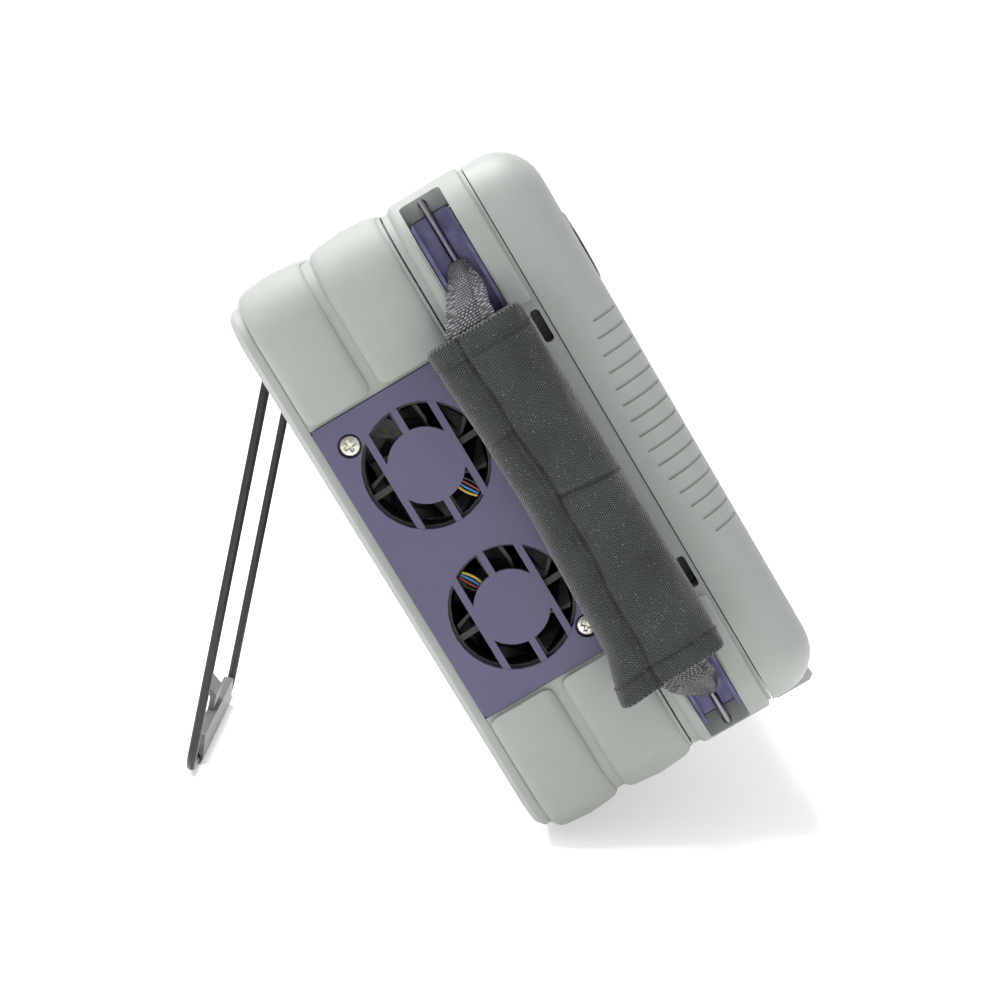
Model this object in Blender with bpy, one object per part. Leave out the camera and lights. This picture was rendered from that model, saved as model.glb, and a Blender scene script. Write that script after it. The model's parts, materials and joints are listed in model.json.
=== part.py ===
"""A portable spectrum analyzer, standing on its folding bail.

Units are metres and +Z is up. The instrument is modelled in its own case frame and
then leaned back as one: every object hangs on the empty "case_frame".

Case frame: X runs to the user's right, depth is measured forward from the back face
(so Y = -depth), and height is measured up from the bottom face.
"""

import math

import bmesh
import bpy
from mathutils import Matrix, Vector

MM = 0.001

# ---------------------------------------------------------------- driving dimensions
WIDTH = 285 * MM
HEIGHT = 195 * MM
SIDE = WIDTH / 2
MID_HEIGHT = HEIGHT / 2
LEAN = math.radians(30)
GAP = 0.3 * MM  # between neighbouring pieces
ARC_STEPS = 8  # flats in a quarter turn of the case outline
BEZEL_INSET = 1 * MM
BEZEL_ROUNDING = 14.5 * MM  # radius that rolls the bezel's sides in to its face
FACE_CORNER_RADIUS = 2.5 * MM
CORNER_RADIUS = BEZEL_INSET + BEZEL_ROUNDING + FACE_CORNER_RADIUS

# Depths of the sections, from the back face forward.
BACK_COVER_DEPTH = 4.3 * MM
REAR_CASE_FRONT = 55.3 * MM
MID_FRAME_LENGTH = 28.2 * MM
BEZEL_LENGTH = 19.7 * MM
MID_FRAME_BACK = REAR_CASE_FRONT + GAP
MID_FRAME_FRONT = MID_FRAME_BACK + MID_FRAME_LENGTH
BEZEL_BACK = MID_FRAME_FRONT + GAP
BEZEL_FRONT = BEZEL_BACK + BEZEL_LENGTH

# Rear case and the pieces around it.
SKIN = 3 * MM  # from the case's outline in to the rear case
PANEL_THICKNESS = 2.4 * MM
REAR_WALL = 2.5 * MM
BACK_COVER_INSET = 2.5 * MM
BUMPER_WEB = 1.7 * MM
BUMPER_BACK = BACK_COVER_DEPTH + GAP
BUMPER_FRONT = REAR_CASE_FRONT - 0.3 * MM
BUMPER_GROOVE_BACK = 27 * MM
BUMPER_GROOVE_WIDTH = 3.4 * MM
BUMPER_LIP = 1 * MM  # web that shows past the end of a pad
PAD_CROWN = 1.3 * MM  # how far a pad's middle stands proud of the case's outline
PAD_ROUND = 3 * MM  # radius of a pad's corners
PAD_EDGE_DROP = 0.9 * MM
PANEL_BACK = 4.6 * MM
PANEL_FRONT = 54 * MM
SIDE_PANEL_HEIGHT = 103 * MM
TOP_PANEL_WIDTH = 170 * MM

# Fans, their grille and their leads.
FAN_SIZE = 40 * MM
FAN_THICKNESS = 10 * MM
FAN_RIM = 1.2 * MM  # thinnest wall between the duct and the frame's sides
FAN_PITCH = FAN_SIZE + 10.8 * MM
FAN_DEPTH = 29.6 * MM  # from the back face to the fans' axes
GRILLE_RADIUS = FAN_SIZE / 2 - 0.3 * MM
GRILLE_BAR_WIDTH = 2.2 * MM
GRILLE_BAR_OFFSET = 0.28 * FAN_SIZE
ROTOR_RADIUS = FAN_SIZE / 2 - 1.8 * MM
ROTOR_HUB_RADIUS = 0.275 * FAN_SIZE
GRILLE_HUB_RADIUS = ROTOR_HUB_RADIUS + 0.8 * MM
STRUT_WIDTH = 2 * MM
STRUT_THICKNESS = 2 * MM
STRUT_TURN = math.radians(3)
LEAD_TURNS = (math.radians(-59), math.radians(120))  # of the upper and the lower fan
BLADES = 7
SCREW_HEAD_RADIUS = 3.2 * MM
SCREW_HEAD_THICKNESS = 1.6 * MM
SCREW_TOP = 0.7 * MM  # below the widest face of the case
SCREW_SHANK_RADIUS = 1.5 * MM
FAN_HOLE = FAN_SIZE / 2 - 3.2 * MM  # from a fan's axis to its corner holes, across and up

# Middle frame, with the recesses for the carrying strap and for the sockets.
MID_INSET = 1.5 * MM
BLOCK_BACK = 57.4 * MM
BLOCK_FRONT = 82.6 * MM
BLOCK_THICKNESS = 4.5 * MM
BLOCK_BACK_ROUND = 2.6 * MM
BLOCK_FRONT_ROUND = 1.2 * MM
BLOCK_REACH = 52.2 * MM  # from mid height to where a corner block ends
BLOCK_TOP_REACH = 95 * MM  # from the middle to where a corner block ends on top
MID_WALL = 5 * MM
MID_SIDE_WALL = 16 * MM
RECESS_BACK = 61.5 * MM
RECESS_FRONT = 75.5 * MM
RECESS_DEPTH = 14 * MM
RECESS_ROUND = 2 * MM  # radius of the recess's four corners
RECESS_CHAMFER = 0.8 * MM
RECESS_END_RIM = 2.2 * MM
RECESS_END_FLOOR = 8.1 * MM
CHANNEL_WALL = 1.2 * MM
CHANNEL_RIM = 3 * MM  # how far the channel's rim lies below the side face
LUG_SLOT_DEPTH = 81 * MM
LUG_SLOT_REACH = 43.7 * MM
LUG_SLOT_LENGTH = 10.8 * MM
LUG_SLOT_WIDTH = 3 * MM
LUG_SLOT_ROUND = 1.1 * MM
LUG_SLOT_CUT = 13 * MM

# Carrying strap.
STRAP_DEPTH = 64 * MM
STRAP_CENTRE = MID_HEIGHT - 5 * MM
STRAP_SPAN = HEIGHT - 39 * MM  # between the necks at the webbing's two ends
SLEEVE_LENGTH = HEIGHT - 75 * MM
SLEEVE_WIDTHS = (33 * MM, 33 * MM, 32 * MM, 31.5 * MM, 31.5 * MM)  # from its lower end up
SLEEVE_THICKNESS = 12 * MM
SLEEVE_WALL = 3.4 * MM
SLEEVE_STANDOFF = 8 * MM  # from the side face to the sleeve's inner face
WEB_WIDTH = 14.5 * MM
WEB_THICKNESS = 3.6 * MM
WEB_NECK_WIDTH = 5 * MM
WEB_OVERLAP = 20 * MM  # length of webbing inside the sleeve's mouth
ROD_RADIUS = 1.2 * MM
ROD_DEPTH = 68.5 * MM
ROD_SUNK = 11.5 * MM  # below the side face
ROD_END = 2.6 * MM  # from the top or bottom face to the rod's outer end

# Bezel, display and keys.
BEZEL_WALL = 3 * MM
BEZEL_HOLLOW = 8 * MM  # from the case's outline in to the bezel's hollow
GROOVES = 15
GROOVE_PITCH = 5.3 * MM
GROOVE_WIDTH = 0.9 * MM
GROOVE_CUT = 0.6 * MM
GROOVE_LONG = 14.4 * MM  # from the face to the inner end of the middle groove
GROOVE_SHORT = 8.8 * MM  # and of the end grooves
GLASS_WIDTH = 184 * MM
GLASS_HEIGHT = HEIGHT - 55 * MM
GLASS_THICKNESS = 1.8 * MM
GLASS_CENTRE = (-32 * MM, MID_HEIGHT + 3.5 * MM)
GLASS_LEDGE = 3 * MM
LCD_SIZE = (GLASS_WIDTH - 8 * MM, GLASS_HEIGHT - 8 * MM, 7 * MM)
BOARD_THICKNESS = 1.6 * MM
SOFT_KEYS = 6
SOFT_KEY_SIZE = (13 * MM, 9 * MM)
SOFT_KEY_X = 73 * MM
SOFT_KEY_PITCH = GLASS_HEIGHT / 7
FUNCTION_KEY_SIZE = (15 * MM, 9 * MM)
FUNCTION_KEY_COLUMNS = (94 * MM, 115 * MM)
FUNCTION_KEY_ROWS = (0.502 * HEIGHT, 0.41 * HEIGHT, 0.318 * HEIGHT)
POWER_KEY_PLACE = (104.5 * MM, 0.185 * HEIGHT)
POWER_KEY_RADIUS = 6 * MM
KEY_PROUD = 1.6 * MM
KEY_CLEARANCE = 0.4 * MM
KEY_LENGTH = 5 * MM
KNOB_PLACE = (104.5 * MM, 0.738 * HEIGHT)
KNOB_RADIUS = 17 * MM
KNOB_HEIGHT = 9 * MM
KNOB_SHAFT_RADIUS = 3 * MM

# Sockets and connectors.
BAY_DEPTH = 17 * MM
BAY_FRONT = 50 * MM
BAY_BACK = 9 * MM
BAY_WALL = 1.6 * MM
DOOR_REACH = 44 * MM  # half the length of the socket door
DOOR_THICKNESS = 2 * MM
DOOR_HINGE_RADIUS = 0.9 * MM
JACK_LENGTH = 11 * MM
JACK_FLOOR = 2 * MM
N_PITCH = 62 * MM
N_DEPTH = 29 * MM
N_THREAD_RADIUS = 7.9 * MM
N_FLANGE = 25.4 * MM
N_FLANGE_THICKNESS = 1.6 * MM
N_BARREL_LENGTH = 13 * MM  # above the bay's floor
SMA_LENGTH = 9 * MM
N_BORE_RADIUS = 4.3 * MM
N_PIN_RADIUS = 1.6 * MM
SMA_RADIUS = 3.1 * MM

# Bail, feet and what is inside.
BAIL_WIRE_RADIUS = 1.7 * MM
BAIL_WIDTH = 116 * MM
BAIL_HINGE_HEIGHT = HEIGHT - 20.8 * MM
BAIL_LENGTH = 0.8674 * BAIL_HINGE_HEIGHT
BAIL_STANDOFF = 3.2 * MM  # from the back face to the hinge axis
BAIL_PIN = 6 * MM
BAIL_BEND = 7 * MM
BAIL_FOOT_LENGTH = 84 * MM
BAIL_FOOT_RADIUS = 2.7 * MM
BAIL_FOOT_HEIGHT = 9 * MM
LUG_WIDTH = 6 * MM
FOOT_FRONT = 98.5 * MM
FOOT_DROP = 2.5 * MM
FOOT_WIDTH = 38 * MM
FOOT_X = 98 * MM
REAR_FOOT_BACK = 5.4 * MM
REAR_FOOT_FRONT = 17 * MM
REAR_FOOT_X = 62 * MM
REAR_FOOT_DROP = 4.5 * MM

# the inside pieces
BATTERY_SIZE = (150 * MM, 24 * MM, 0.37 * HEIGHT)
MODULE_SIZE = (164 * MM, 20 * MM, 0.38 * HEIGHT)
MODULE_TOP = HEIGHT - 29 * MM


# ---------------------------------------------------------------- scene and materials
def clear_scene():
    for old in list(bpy.data.objects):
        bpy.data.objects.remove(old)


def material(name, colour, roughness, metallic=0.0):
    made = bpy.data.materials.new(name)
    made.use_nodes = True
    shader = made.node_tree.nodes["Principled BSDF"]
    shader.inputs["Base Color"].default_value = (*colour, 1)
    shader.inputs["Roughness"].default_value = roughness
    shader.inputs["Metallic"].default_value = metallic
    return made


def make_materials():
    return {
        "rubber": material("grey_rubber", (0.40, 0.43, 0.42), 0.6),
        "shell": material("grey_plastic", (0.46, 0.49, 0.48), 0.5),
        "purple": material("purple_metal", (0.12, 0.11, 0.22), 0.45, 0.3),
        "black": material("black_plastic", (0.02, 0.02, 0.022), 0.5),
        "fabric": material("black_fabric", (0.03, 0.033, 0.036), 0.9),
        "steel": material("bright_steel", (0.7, 0.7, 0.68), 0.3, 1.0),
        "can": material("module_can", (0.6, 0.61, 0.62), 0.4, 1.0),
        "wire": material("black_wire", (0.02, 0.022, 0.022), 0.35, 0.4),
        "glass": material("display_glass", (0.01, 0.012, 0.015), 0.08),
        "board": material("circuit_board", (0.02, 0.12, 0.05), 0.5),
        "foot": material("foot_plastic", (0.45, 0.45, 0.47), 0.5),
        "key": material("key_rubber", (0.16, 0.17, 0.19), 0.6),
        "lead": material("lead_insulation", (0.7, 0.55, 0.1), 0.4),
        "brass": material("nickel", (0.65, 0.63, 0.58), 0.25, 1.0),
    }


# ---------------------------------------------------------------- shapes in the case frame
def point(x, depth, height):
    return Vector((x, -depth, height))


def mesh_of(bm, origin):
    bmesh.ops.recalc_face_normals(bm, faces=bm.faces)
    bmesh.ops.translate(bm, verts=bm.verts, vec=-origin)
    mesh = bpy.data.meshes.new("shape")
    bm.to_mesh(mesh)
    bm.free()
    return mesh


def add(name, bm, finish, origin=Vector((0, 0, 0)), smooth=None):
    """Makes one named object of the shape, with its origin at that place of the case frame."""
    made = bpy.data.objects.new(name, mesh_of(bm, origin))
    bpy.context.scene.collection.objects.link(made)
    made.location = origin
    made.parent = bpy.data.objects["case_frame"]
    made.data.materials.append(finish)
    if smooth is not None:
        made.data.shade_smooth()
        made.data.set_sharp_from_angle(angle=math.radians(smooth))
    return made


def tool(name, bm):
    """A hidden shape that a Boolean uses."""
    made = add(name, bm, None)
    made.data.materials.clear()
    made.hide_render = True
    made.display_type = "WIRE"
    return made


def combine(target, name, bm, operation):
    modifier = target.modifiers.new(name, "BOOLEAN")
    modifier.operation = operation
    modifier.object = tool(f"{target.name}_{name}", bm)
    return target


def cut(target, name, bm):
    return combine(target, name, bm, "DIFFERENCE")


def join(target, name, bm):
    return combine(target, name, bm, "UNION")


def bevel(target, width, segments=1, angle=40):
    modifier = target.modifiers.new("edge", "BEVEL")
    modifier.width = width
    modifier.segments = segments
    modifier.limit_method = "ANGLE"
    modifier.angle_limit = math.radians(angle)
    return target


def box(bm, x, depth, height):
    """A box between pairs of x, depth and height."""
    corners = [bm.verts.new(point(a, b, c)) for c in height for b in depth for a in x]
    for face in ((0, 1, 3, 2), (4, 6, 7, 5), (0, 4, 5, 1), (2, 3, 7, 6), (0, 2, 6, 4), (1, 5, 7, 3)):
        bm.faces.new([corners[i] for i in face])
    return bm


def loft(bm, loops):
    """A closed solid through loops of points, each with the same number of points."""
    rings = [[bm.verts.new(p) for p in loop] for loop in loops]
    count = len(rings[0])
    for below, above in zip(rings, rings[1:]):
        for i in range(count):
            j = (i + 1) % count
            bm.faces.new((below[i], below[j], above[j], above[i]))
    bm.faces.new(rings[0][::-1])
    bm.faces.new(rings[-1])
    return bm


def prism(bm, outline, depths):
    """An (x, height) outline carried between two depths."""
    return loft(bm, [[point(x, depth, height) for x, height in outline] for depth in depths])


def prism_x(bm, outline, xs):
    """A (depth, height) outline carried between two x."""
    return loft(bm, [[point(x, depth, height) for depth, height in outline] for x in xs])


def arc(centre, radius, start, end, steps):
    """Points on an arc, with angles in degrees."""
    angles = [math.radians(start + (end - start) * i / steps) for i in range(steps + 1)]
    return [(centre[0] + radius * math.cos(a), centre[1] + radius * math.sin(a)) for a in angles]


def case_outline(inset, steps=ARC_STEPS):
    """The case's rounded outline in x and height, this far inside its widest."""
    radius = CORNER_RADIUS - inset
    a = SIDE - CORNER_RADIUS
    b = MID_HEIGHT - CORNER_RADIUS
    outline = []
    for quarter, (sx, sz) in enumerate(((1, 1), (-1, 1), (-1, -1), (1, -1))):
        outline += arc((sx * a, MID_HEIGHT + sz * b), radius, 90 * quarter, 90 * quarter + 90, steps)
    return outline


def corner_outline(sx, sz, inset, thickness, side_reach, top_reach, steps=ARC_STEPS):
    """An L round one corner of the case, from side_reach off mid height to top_reach off the middle."""
    centre = (SIDE - CORNER_RADIUS, MID_HEIGHT - CORNER_RADIUS)
    outer = arc(centre, CORNER_RADIUS - inset, 0, 90, steps)
    inner = arc(centre, CORNER_RADIUS - inset - thickness, 90, 0, steps)
    outer = [(SIDE - inset, side_reach), *outer, (top_reach, MID_HEIGHT - inset)]
    low = (SIDE - inset - thickness, side_reach)
    inner = [(top_reach, MID_HEIGHT - inset - thickness), *inner, low]
    return [(sx * x, MID_HEIGHT + sz * z) for x, z in outer + inner]


def cylinder(bm, centre, axis, radius, length, segments=20, end_radius=None):
    """A round bar from centre along a unit axis."""
    turn = Vector((0, 0, 1)).rotation_difference(Vector(axis)).to_matrix().to_4x4()
    place = Matrix.Translation(centre + Vector(axis) * length / 2) @ turn
    top = radius if end_radius is None else end_radius
    bmesh.ops.create_cone(
        bm, cap_ends=True, segments=segments, radius1=radius, radius2=top, depth=length, matrix=place
    )
    return bm


def turned(bm, centre, axis, profile, segments=20):
    """A round solid along a unit axis, through (radius, distance along the axis) pairs."""
    turn = Vector((0, 0, 1)).rotation_difference(Vector(axis)).to_matrix()
    loops = []
    for radius, along in profile:
        ring = circle((0, 0), radius, segments)
        loops.append([centre + turn @ Vector((a, b, along)) for a, b in ring])
    return loft(bm, loops)


def circle(centre, radius, steps):
    return arc(centre, radius, 0, 360, steps)[:-1]


LEFT = Vector((-1, 0, 0))
RIGHT = Vector((1, 0, 0))
FORWARD = Vector((0, -1, 0))
BACKWARD = Vector((0, 1, 0))
UP = Vector((0, 0, 1))


# ---------------------------------------------------------------- rear section
def rear_case(finish):
    core = SKIN + GAP
    block = prism(bmesh.new(), case_outline(core), (BUMPER_BACK, REAR_CASE_FRONT))
    made = add("rear_case", block, finish, smooth=30)
    inside = case_outline(core + REAR_WALL, 4)
    cut(made, "hollow", prism(bmesh.new(), inside, (BUMPER_BACK + REAR_WALL, REAR_CASE_FRONT + SKIN)))
    window = bmesh.new()
    reach = SIDE_PANEL_HEIGHT / 2 - 4 * MM
    depths = (FAN_DEPTH - FAN_SIZE / 2 - GAP, FAN_DEPTH + FAN_SIZE / 2 + GAP)
    heights = (MID_HEIGHT - reach, MID_HEIGHT + reach)
    for sx in (-1, 1):
        box(window, sorted((sx * (SIDE + SKIN), sx * (SIDE - 4 * SKIN))), depths, heights)
    top = TOP_PANEL_WIDTH / 2 - 6 * MM + GAP
    box(window, (-top, top), (BAY_BACK - GAP, BAY_FRONT + GAP), (HEIGHT - 4 * SKIN, HEIGHT + SKIN))
    return cut(made, "windows", window)


def pad(bm, sx, sz, back, front):
    """A crowned pad over one band of a corner bumper, with its corners and edges rounded."""
    middle, half = (back + front) / 2, (front - back) / 2
    bottom = SKIN - 0.6 * MM  # buried a little in the bumper's web
    near_edge = [PAD_ROUND * share for share in (0, 0.12, 0.4, 1)]
    depths = [back + e for e in near_edge] + [middle] + [front - e for e in reversed(near_edge)]
    loops = []
    for depth in depths:
        edge = min(depth - back, front - depth, PAD_ROUND)
        drop = 1 - edge / PAD_ROUND
        off = (depth - middle) / half
        inset = -PAD_CROWN * (1 - off * off) + PAD_EDGE_DROP * drop**3
        corner = BUMPER_LIP + PAD_ROUND - math.sqrt(PAD_ROUND**2 - (PAD_ROUND - edge) ** 2)
        side_reach = SIDE_PANEL_HEIGHT / 2 + GAP + corner
        top_reach = TOP_PANEL_WIDTH / 2 + GAP + corner
        outline = corner_outline(sx, sz, inset, bottom - inset, side_reach, top_reach)
        loops.append([point(x, depth, z) for x, z in outline])
    return loft(bm, loops)


def corner_bumper(name, sx, sz, finish):
    side_reach = SIDE_PANEL_HEIGHT / 2 + GAP
    top_reach = TOP_PANEL_WIDTH / 2 + GAP
    web = corner_outline(sx, sz, SKIN - BUMPER_WEB, BUMPER_WEB, side_reach, top_reach)
    made = add(name, prism(bmesh.new(), web, (BUMPER_BACK, BUMPER_FRONT)), finish, smooth=35)
    pads = bmesh.new()
    pad(pads, sx, sz, BUMPER_BACK + 0.4 * MM, BUMPER_GROOVE_BACK)
    pad(pads, sx, sz, BUMPER_GROOVE_BACK + BUMPER_GROOVE_WIDTH, BUMPER_FRONT - 1.2 * MM)
    return join(made, "pads", pads)


def back_cover(finish):
    outline = case_outline(BACK_COVER_INSET)
    edge = case_outline(BACK_COVER_INSET + 1.8 * MM)
    loops = [[point(x, 0, z) for x, z in edge]]
    loops += [[point(x, depth, z) for x, z in outline] for depth in (1.8 * MM, BACK_COVER_DEPTH)]
    made = add("back_cover", loft(bmesh.new(), loops), finish, smooth=30)
    hole = BAIL_WIRE_RADIUS + GAP
    for side, sx in (("left", -1), ("right", 1)):
        inner = BAIL_WIDTH / 2 + BAIL_WIRE_RADIUS + GAP
        reach = BAIL_STANDOFF + BAIL_WIRE_RADIUS + 2.2 * MM
        half = BAIL_WIRE_RADIUS + 2.4 * MM
        low = [(1 * MM, -half - 2 * MM), (-reach, -half + 1.5 * MM)]
        corners = low + [(depth, -z) for depth, z in reversed(low)]
        profile = [(depth, BAIL_HINGE_HEIGHT + z) for depth, z in corners]
        xs = (sx * inner, sx * (inner + LUG_WIDTH))
        join(made, f"lug_{side}", prism_x(bmesh.new(), profile, xs))
        start = point(sx * (inner - 1 * MM), -BAIL_STANDOFF, BAIL_HINGE_HEIGHT)
        cut(made, f"pin_{side}", cylinder(bmesh.new(), start, RIGHT * sx, hole, BAIL_PIN + 1 * MM, 16))
    return made


def side_panel_blank(name, sx, finish):
    """A flat plate between the bumpers of one side, with its inner boss filling the case's window."""
    half = SIDE_PANEL_HEIGHT / 2
    face = SIDE - SKIN + PANEL_THICKNESS
    radius = 1.5 * MM
    outline = []
    corners = ((PANEL_FRONT, half), (PANEL_BACK, half), (PANEL_BACK, -half), (PANEL_FRONT, -half))
    for quarter, (depth, z) in enumerate(corners):
        cd = depth - radius if depth == PANEL_FRONT else depth + radius
        cz = MID_HEIGHT + (z - radius if z > 0 else z + radius)
        outline += arc((cd, cz), radius, 90 * quarter, 90 * quarter + 90, 3)
    return add(name, prism_x(bmesh.new(), outline, (sx * (SIDE - SKIN), sx * face)), finish, smooth=30)


def fan_centres():
    return [("upper", MID_HEIGHT + FAN_PITCH / 2), ("lower", MID_HEIGHT - FAN_PITCH / 2)]


def screw_places():
    """The panel's two screws pass through the outermost corner holes of the two fans."""
    reach = FAN_PITCH / 2 + FAN_HOLE
    return [
        ("upper", FAN_DEPTH - FAN_HOLE, MID_HEIGHT + reach),
        ("lower", FAN_DEPTH + FAN_HOLE, MID_HEIGHT - reach),
    ]


def fan_panel(finish):
    made = side_panel_blank("fan_panel", -1, finish)
    xs = (-SIDE - SKIN, -SIDE + 2 * SKIN)
    holes = bmesh.new()
    for _, height in fan_centres():
        prism_x(holes, circle((FAN_DEPTH, height), GRILLE_RADIUS, 32), xs)
    cut(made, "fan_holes", holes)
    spider = bmesh.new()
    inner, outer = -(SIDE - SKIN), -(SIDE - 0.8 * MM)
    reach = GRILLE_RADIUS + 1 * MM
    for _, height in fan_centres():
        prism_x(spider, circle((FAN_DEPTH, height), GRILLE_HUB_RADIUS, 32), (inner, outer))
    join(made, "grille_hubs", spider)
    for index, offset in enumerate((-GRILLE_BAR_OFFSET, 0, GRILLE_BAR_OFFSET)):
        bars = bmesh.new()
        depths = (FAN_DEPTH + offset - GRILLE_BAR_WIDTH / 2, FAN_DEPTH + offset + GRILLE_BAR_WIDTH / 2)
        for _, height in fan_centres():
            box(bars, (outer + 0.02 * MM, inner - 0.02 * MM), depths, (height - reach, height + reach))
        join(made, f"grille_bars_{index}", bars)
    seats = bmesh.new()
    ledge = SCREW_TOP + SCREW_HEAD_THICKNESS + GAP
    hole, head = SCREW_SHANK_RADIUS + GAP, SCREW_HEAD_RADIUS + 2 * GAP
    for _, depth, height in screw_places():
        profile = [(head, -SKIN), (head, ledge), (hole, ledge), (hole, 3 * SKIN)]
        turned(seats, point(-SIDE, depth, height), RIGHT, profile)
    return cut(made, "screw_seats", seats)


def panel_screw(name, depth, height, finish):
    profile = [
        (SCREW_HEAD_RADIUS * 0.8, 0),
        (SCREW_HEAD_RADIUS, 0.5 * MM),
        (SCREW_HEAD_RADIUS, SCREW_HEAD_THICKNESS),
        (SCREW_SHANK_RADIUS, SCREW_HEAD_THICKNESS),
        (SCREW_SHANK_RADIUS, SCREW_HEAD_THICKNESS + 4 * MM),
    ]
    top = point(-SIDE + SCREW_TOP, depth, height)
    made = add(name, turned(bmesh.new(), top, RIGHT, profile), finish, smooth=30)
    arm, half = 1.9 * MM, 0.45 * MM
    quarter = [(arm, -half), (arm, half), (half, half)]
    outline = []
    for c, s in ((1, 0), (0, 1), (-1, 0), (0, -1)):
        outline += [(depth + c * a - s * b, height + s * a + c * b) for a, b in quarter]
    return cut(made, "cross", prism_x(bmesh.new(), outline, (top.x - 1 * MM, top.x + 0.9 * MM)))


def fan_frame(name, height, finish):
    """The square frame, its duct, and the four struts that carry the motor on the outer side."""
    outer = -(SIDE - SKIN - GAP)
    inner = outer + FAN_THICKNESS
    half = FAN_SIZE / 2
    depths = (FAN_DEPTH - half, FAN_DEPTH + half)
    block = box(bmesh.new(), (outer, inner), depths, (height - half, height + half))
    made = add(name, block, finish, smooth=30)
    through = (outer - SKIN, inner + SKIN)
    duct = circle((FAN_DEPTH, height), half - FAN_RIM, 28)
    cut(made, "duct", prism_x(bmesh.new(), duct, through))
    holes = bmesh.new()
    for a, b in ((1, 1), (-1, 1), (-1, -1), (1, -1)):
        centre = (FAN_DEPTH + a * FAN_HOLE, height + b * FAN_HOLE)
        prism_x(holes, circle(centre, SCREW_SHANK_RADIUS + GAP, 12), through)
    cut(made, "corner_holes", holes)
    middle = point(outer, FAN_DEPTH, height)
    motor = cylinder(bmesh.new(), middle, RIGHT, ROTOR_HUB_RADIUS, STRUT_THICKNESS, 24)
    struts = bmesh.new()
    for index in range(4):
        angle = STRUT_TURN + math.radians(90 * index)
        along = Vector((0, -math.cos(angle), math.sin(angle)))
        across = Vector((0, math.sin(angle), math.cos(angle))) * STRUT_WIDTH / 2
        ends = (middle + along * ROTOR_HUB_RADIUS * 0.8, middle + along * (half - 0.4 * MM))
        low, high = RIGHT * 0.05 * MM, RIGHT * (STRUT_THICKNESS - 0.05 * MM)
        corners = (across + low, low - across, high - across, across + high)
        loft(struts, [[end + corner for corner in corners] for end in ends])
    join(made, "struts", struts)
    return join(made, "motor", motor)


def fan_rotor(name, height, finish):
    """Hub and curved blades, turning about the fan's axis behind the struts."""
    outer = -(SIDE - SKIN - GAP) + STRUT_THICKNESS + GAP
    length = FAN_THICKNESS - STRUT_THICKNESS - 2 * GAP
    origin = point(outer, FAN_DEPTH, height)
    hub = cylinder(bmesh.new(), origin, RIGHT, ROTOR_HUB_RADIUS, length, 28)
    made = add(name, hub, finish, origin, smooth=30)
    blades = bmesh.new()
    for index in range(BLADES):
        spin = 2 * math.pi * index / BLADES
        loops = []
        for step in range(3):
            share = step / 2
            radius = ROTOR_HUB_RADIUS * 0.9 + (ROTOR_RADIUS - ROTOR_HUB_RADIUS * 0.9) * share
            lead = spin + 0.30 * share
            loop = []
            for x, twist in ((0.6, 0.0), (0.6, 0.08), (length / MM - 0.6, 0.60), (length / MM - 0.6, 0.52)):
                a = lead + twist
                loop.append(origin + Vector((x * MM, -radius * math.cos(a), radius * math.sin(a))))
            loops.append(loop)
        loft(blades, loops)
    return join(made, "blades", blades)


def fan_lead(name, height, toward, finish):
    """The flat lead from the motor across the duct to the frame's edge."""
    outer = -(SIDE - SKIN - GAP)
    centre = point(outer + 0.4 * MM, FAN_DEPTH, height)
    along = Vector((0, -math.cos(toward), math.sin(toward)))
    across = Vector((0, math.sin(toward), math.cos(toward))) * 1.6 * MM
    start = centre + along * (ROTOR_HUB_RADIUS + GAP)
    end = centre + along * (FAN_SIZE / 2 - FAN_RIM - GAP - 0.2 * MM)
    thick = RIGHT * 0.9 * MM
    loops = [[p + across, p - across, p - across + thick, p + across + thick] for p in (start, end)]
    return add(name, loft(bmesh.new(), loops), finish)


def vent_panel(finish):
    made = side_panel_blank("vent_panel", 1, finish)
    slots = bmesh.new()
    rows = 9
    pitch = 9 * MM
    depths = (FAN_DEPTH - 15 * MM, FAN_DEPTH + 15 * MM)
    for row in range(rows):
        height = MID_HEIGHT + (row - (rows - 1) / 2) * pitch
        box(slots, (SIDE - 2 * SKIN, SIDE + SKIN), depths, (height - 1.5 * MM, height + 1.5 * MM))
    return cut(made, "slots", slots)


def top_plate(name, sz, finish):
    """The plate between the bumpers on the top (sz 1) or the bottom (sz -1)."""
    half = TOP_PANEL_WIDTH / 2
    inner = MID_HEIGHT - SKIN
    heights = sorted((MID_HEIGHT + sz * inner, MID_HEIGHT + sz * (inner + PANEL_THICKNESS)))
    made = add(name, box(bmesh.new(), (-half, half), (PANEL_BACK, PANEL_FRONT), heights), finish)
    return bevel(made, 0.5 * MM)


def rf_panel(finish):
    """The top plate, with a sunk bay that keeps the connectors below the bumpers."""
    made = top_plate("rf_panel", 1, finish)
    half = TOP_PANEL_WIDTH / 2 - 6 * MM
    top = HEIGHT - SKIN
    floor = top - BAY_DEPTH
    tub = box(bmesh.new(), (-half, half), (BAY_BACK, BAY_FRONT), (floor - BAY_WALL, top + 1 * MM))
    join(made, "tub", tub)
    inner = half - BAY_WALL
    bay_depths = (BAY_BACK + BAY_WALL, BAY_FRONT - BAY_WALL)
    bay = box(bmesh.new(), (-inner, inner), bay_depths, (floor, HEIGHT + SKIN))
    cut(made, "bay", bay)
    holes = bmesh.new()
    for sx in (-1, 1):
        start = point(sx * N_PITCH / 2, N_DEPTH, floor - SKIN)
        cylinder(holes, start, UP, N_THREAD_RADIUS + GAP, 2 * SKIN, 24)
    cylinder(holes, point(0, N_DEPTH, floor - SKIN), UP, SMA_RADIUS + GAP, 2 * SKIN, 16)
    return cut(made, "holes", holes)


def bay_underside():
    return HEIGHT - SKIN - BAY_DEPTH - BAY_WALL


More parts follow.
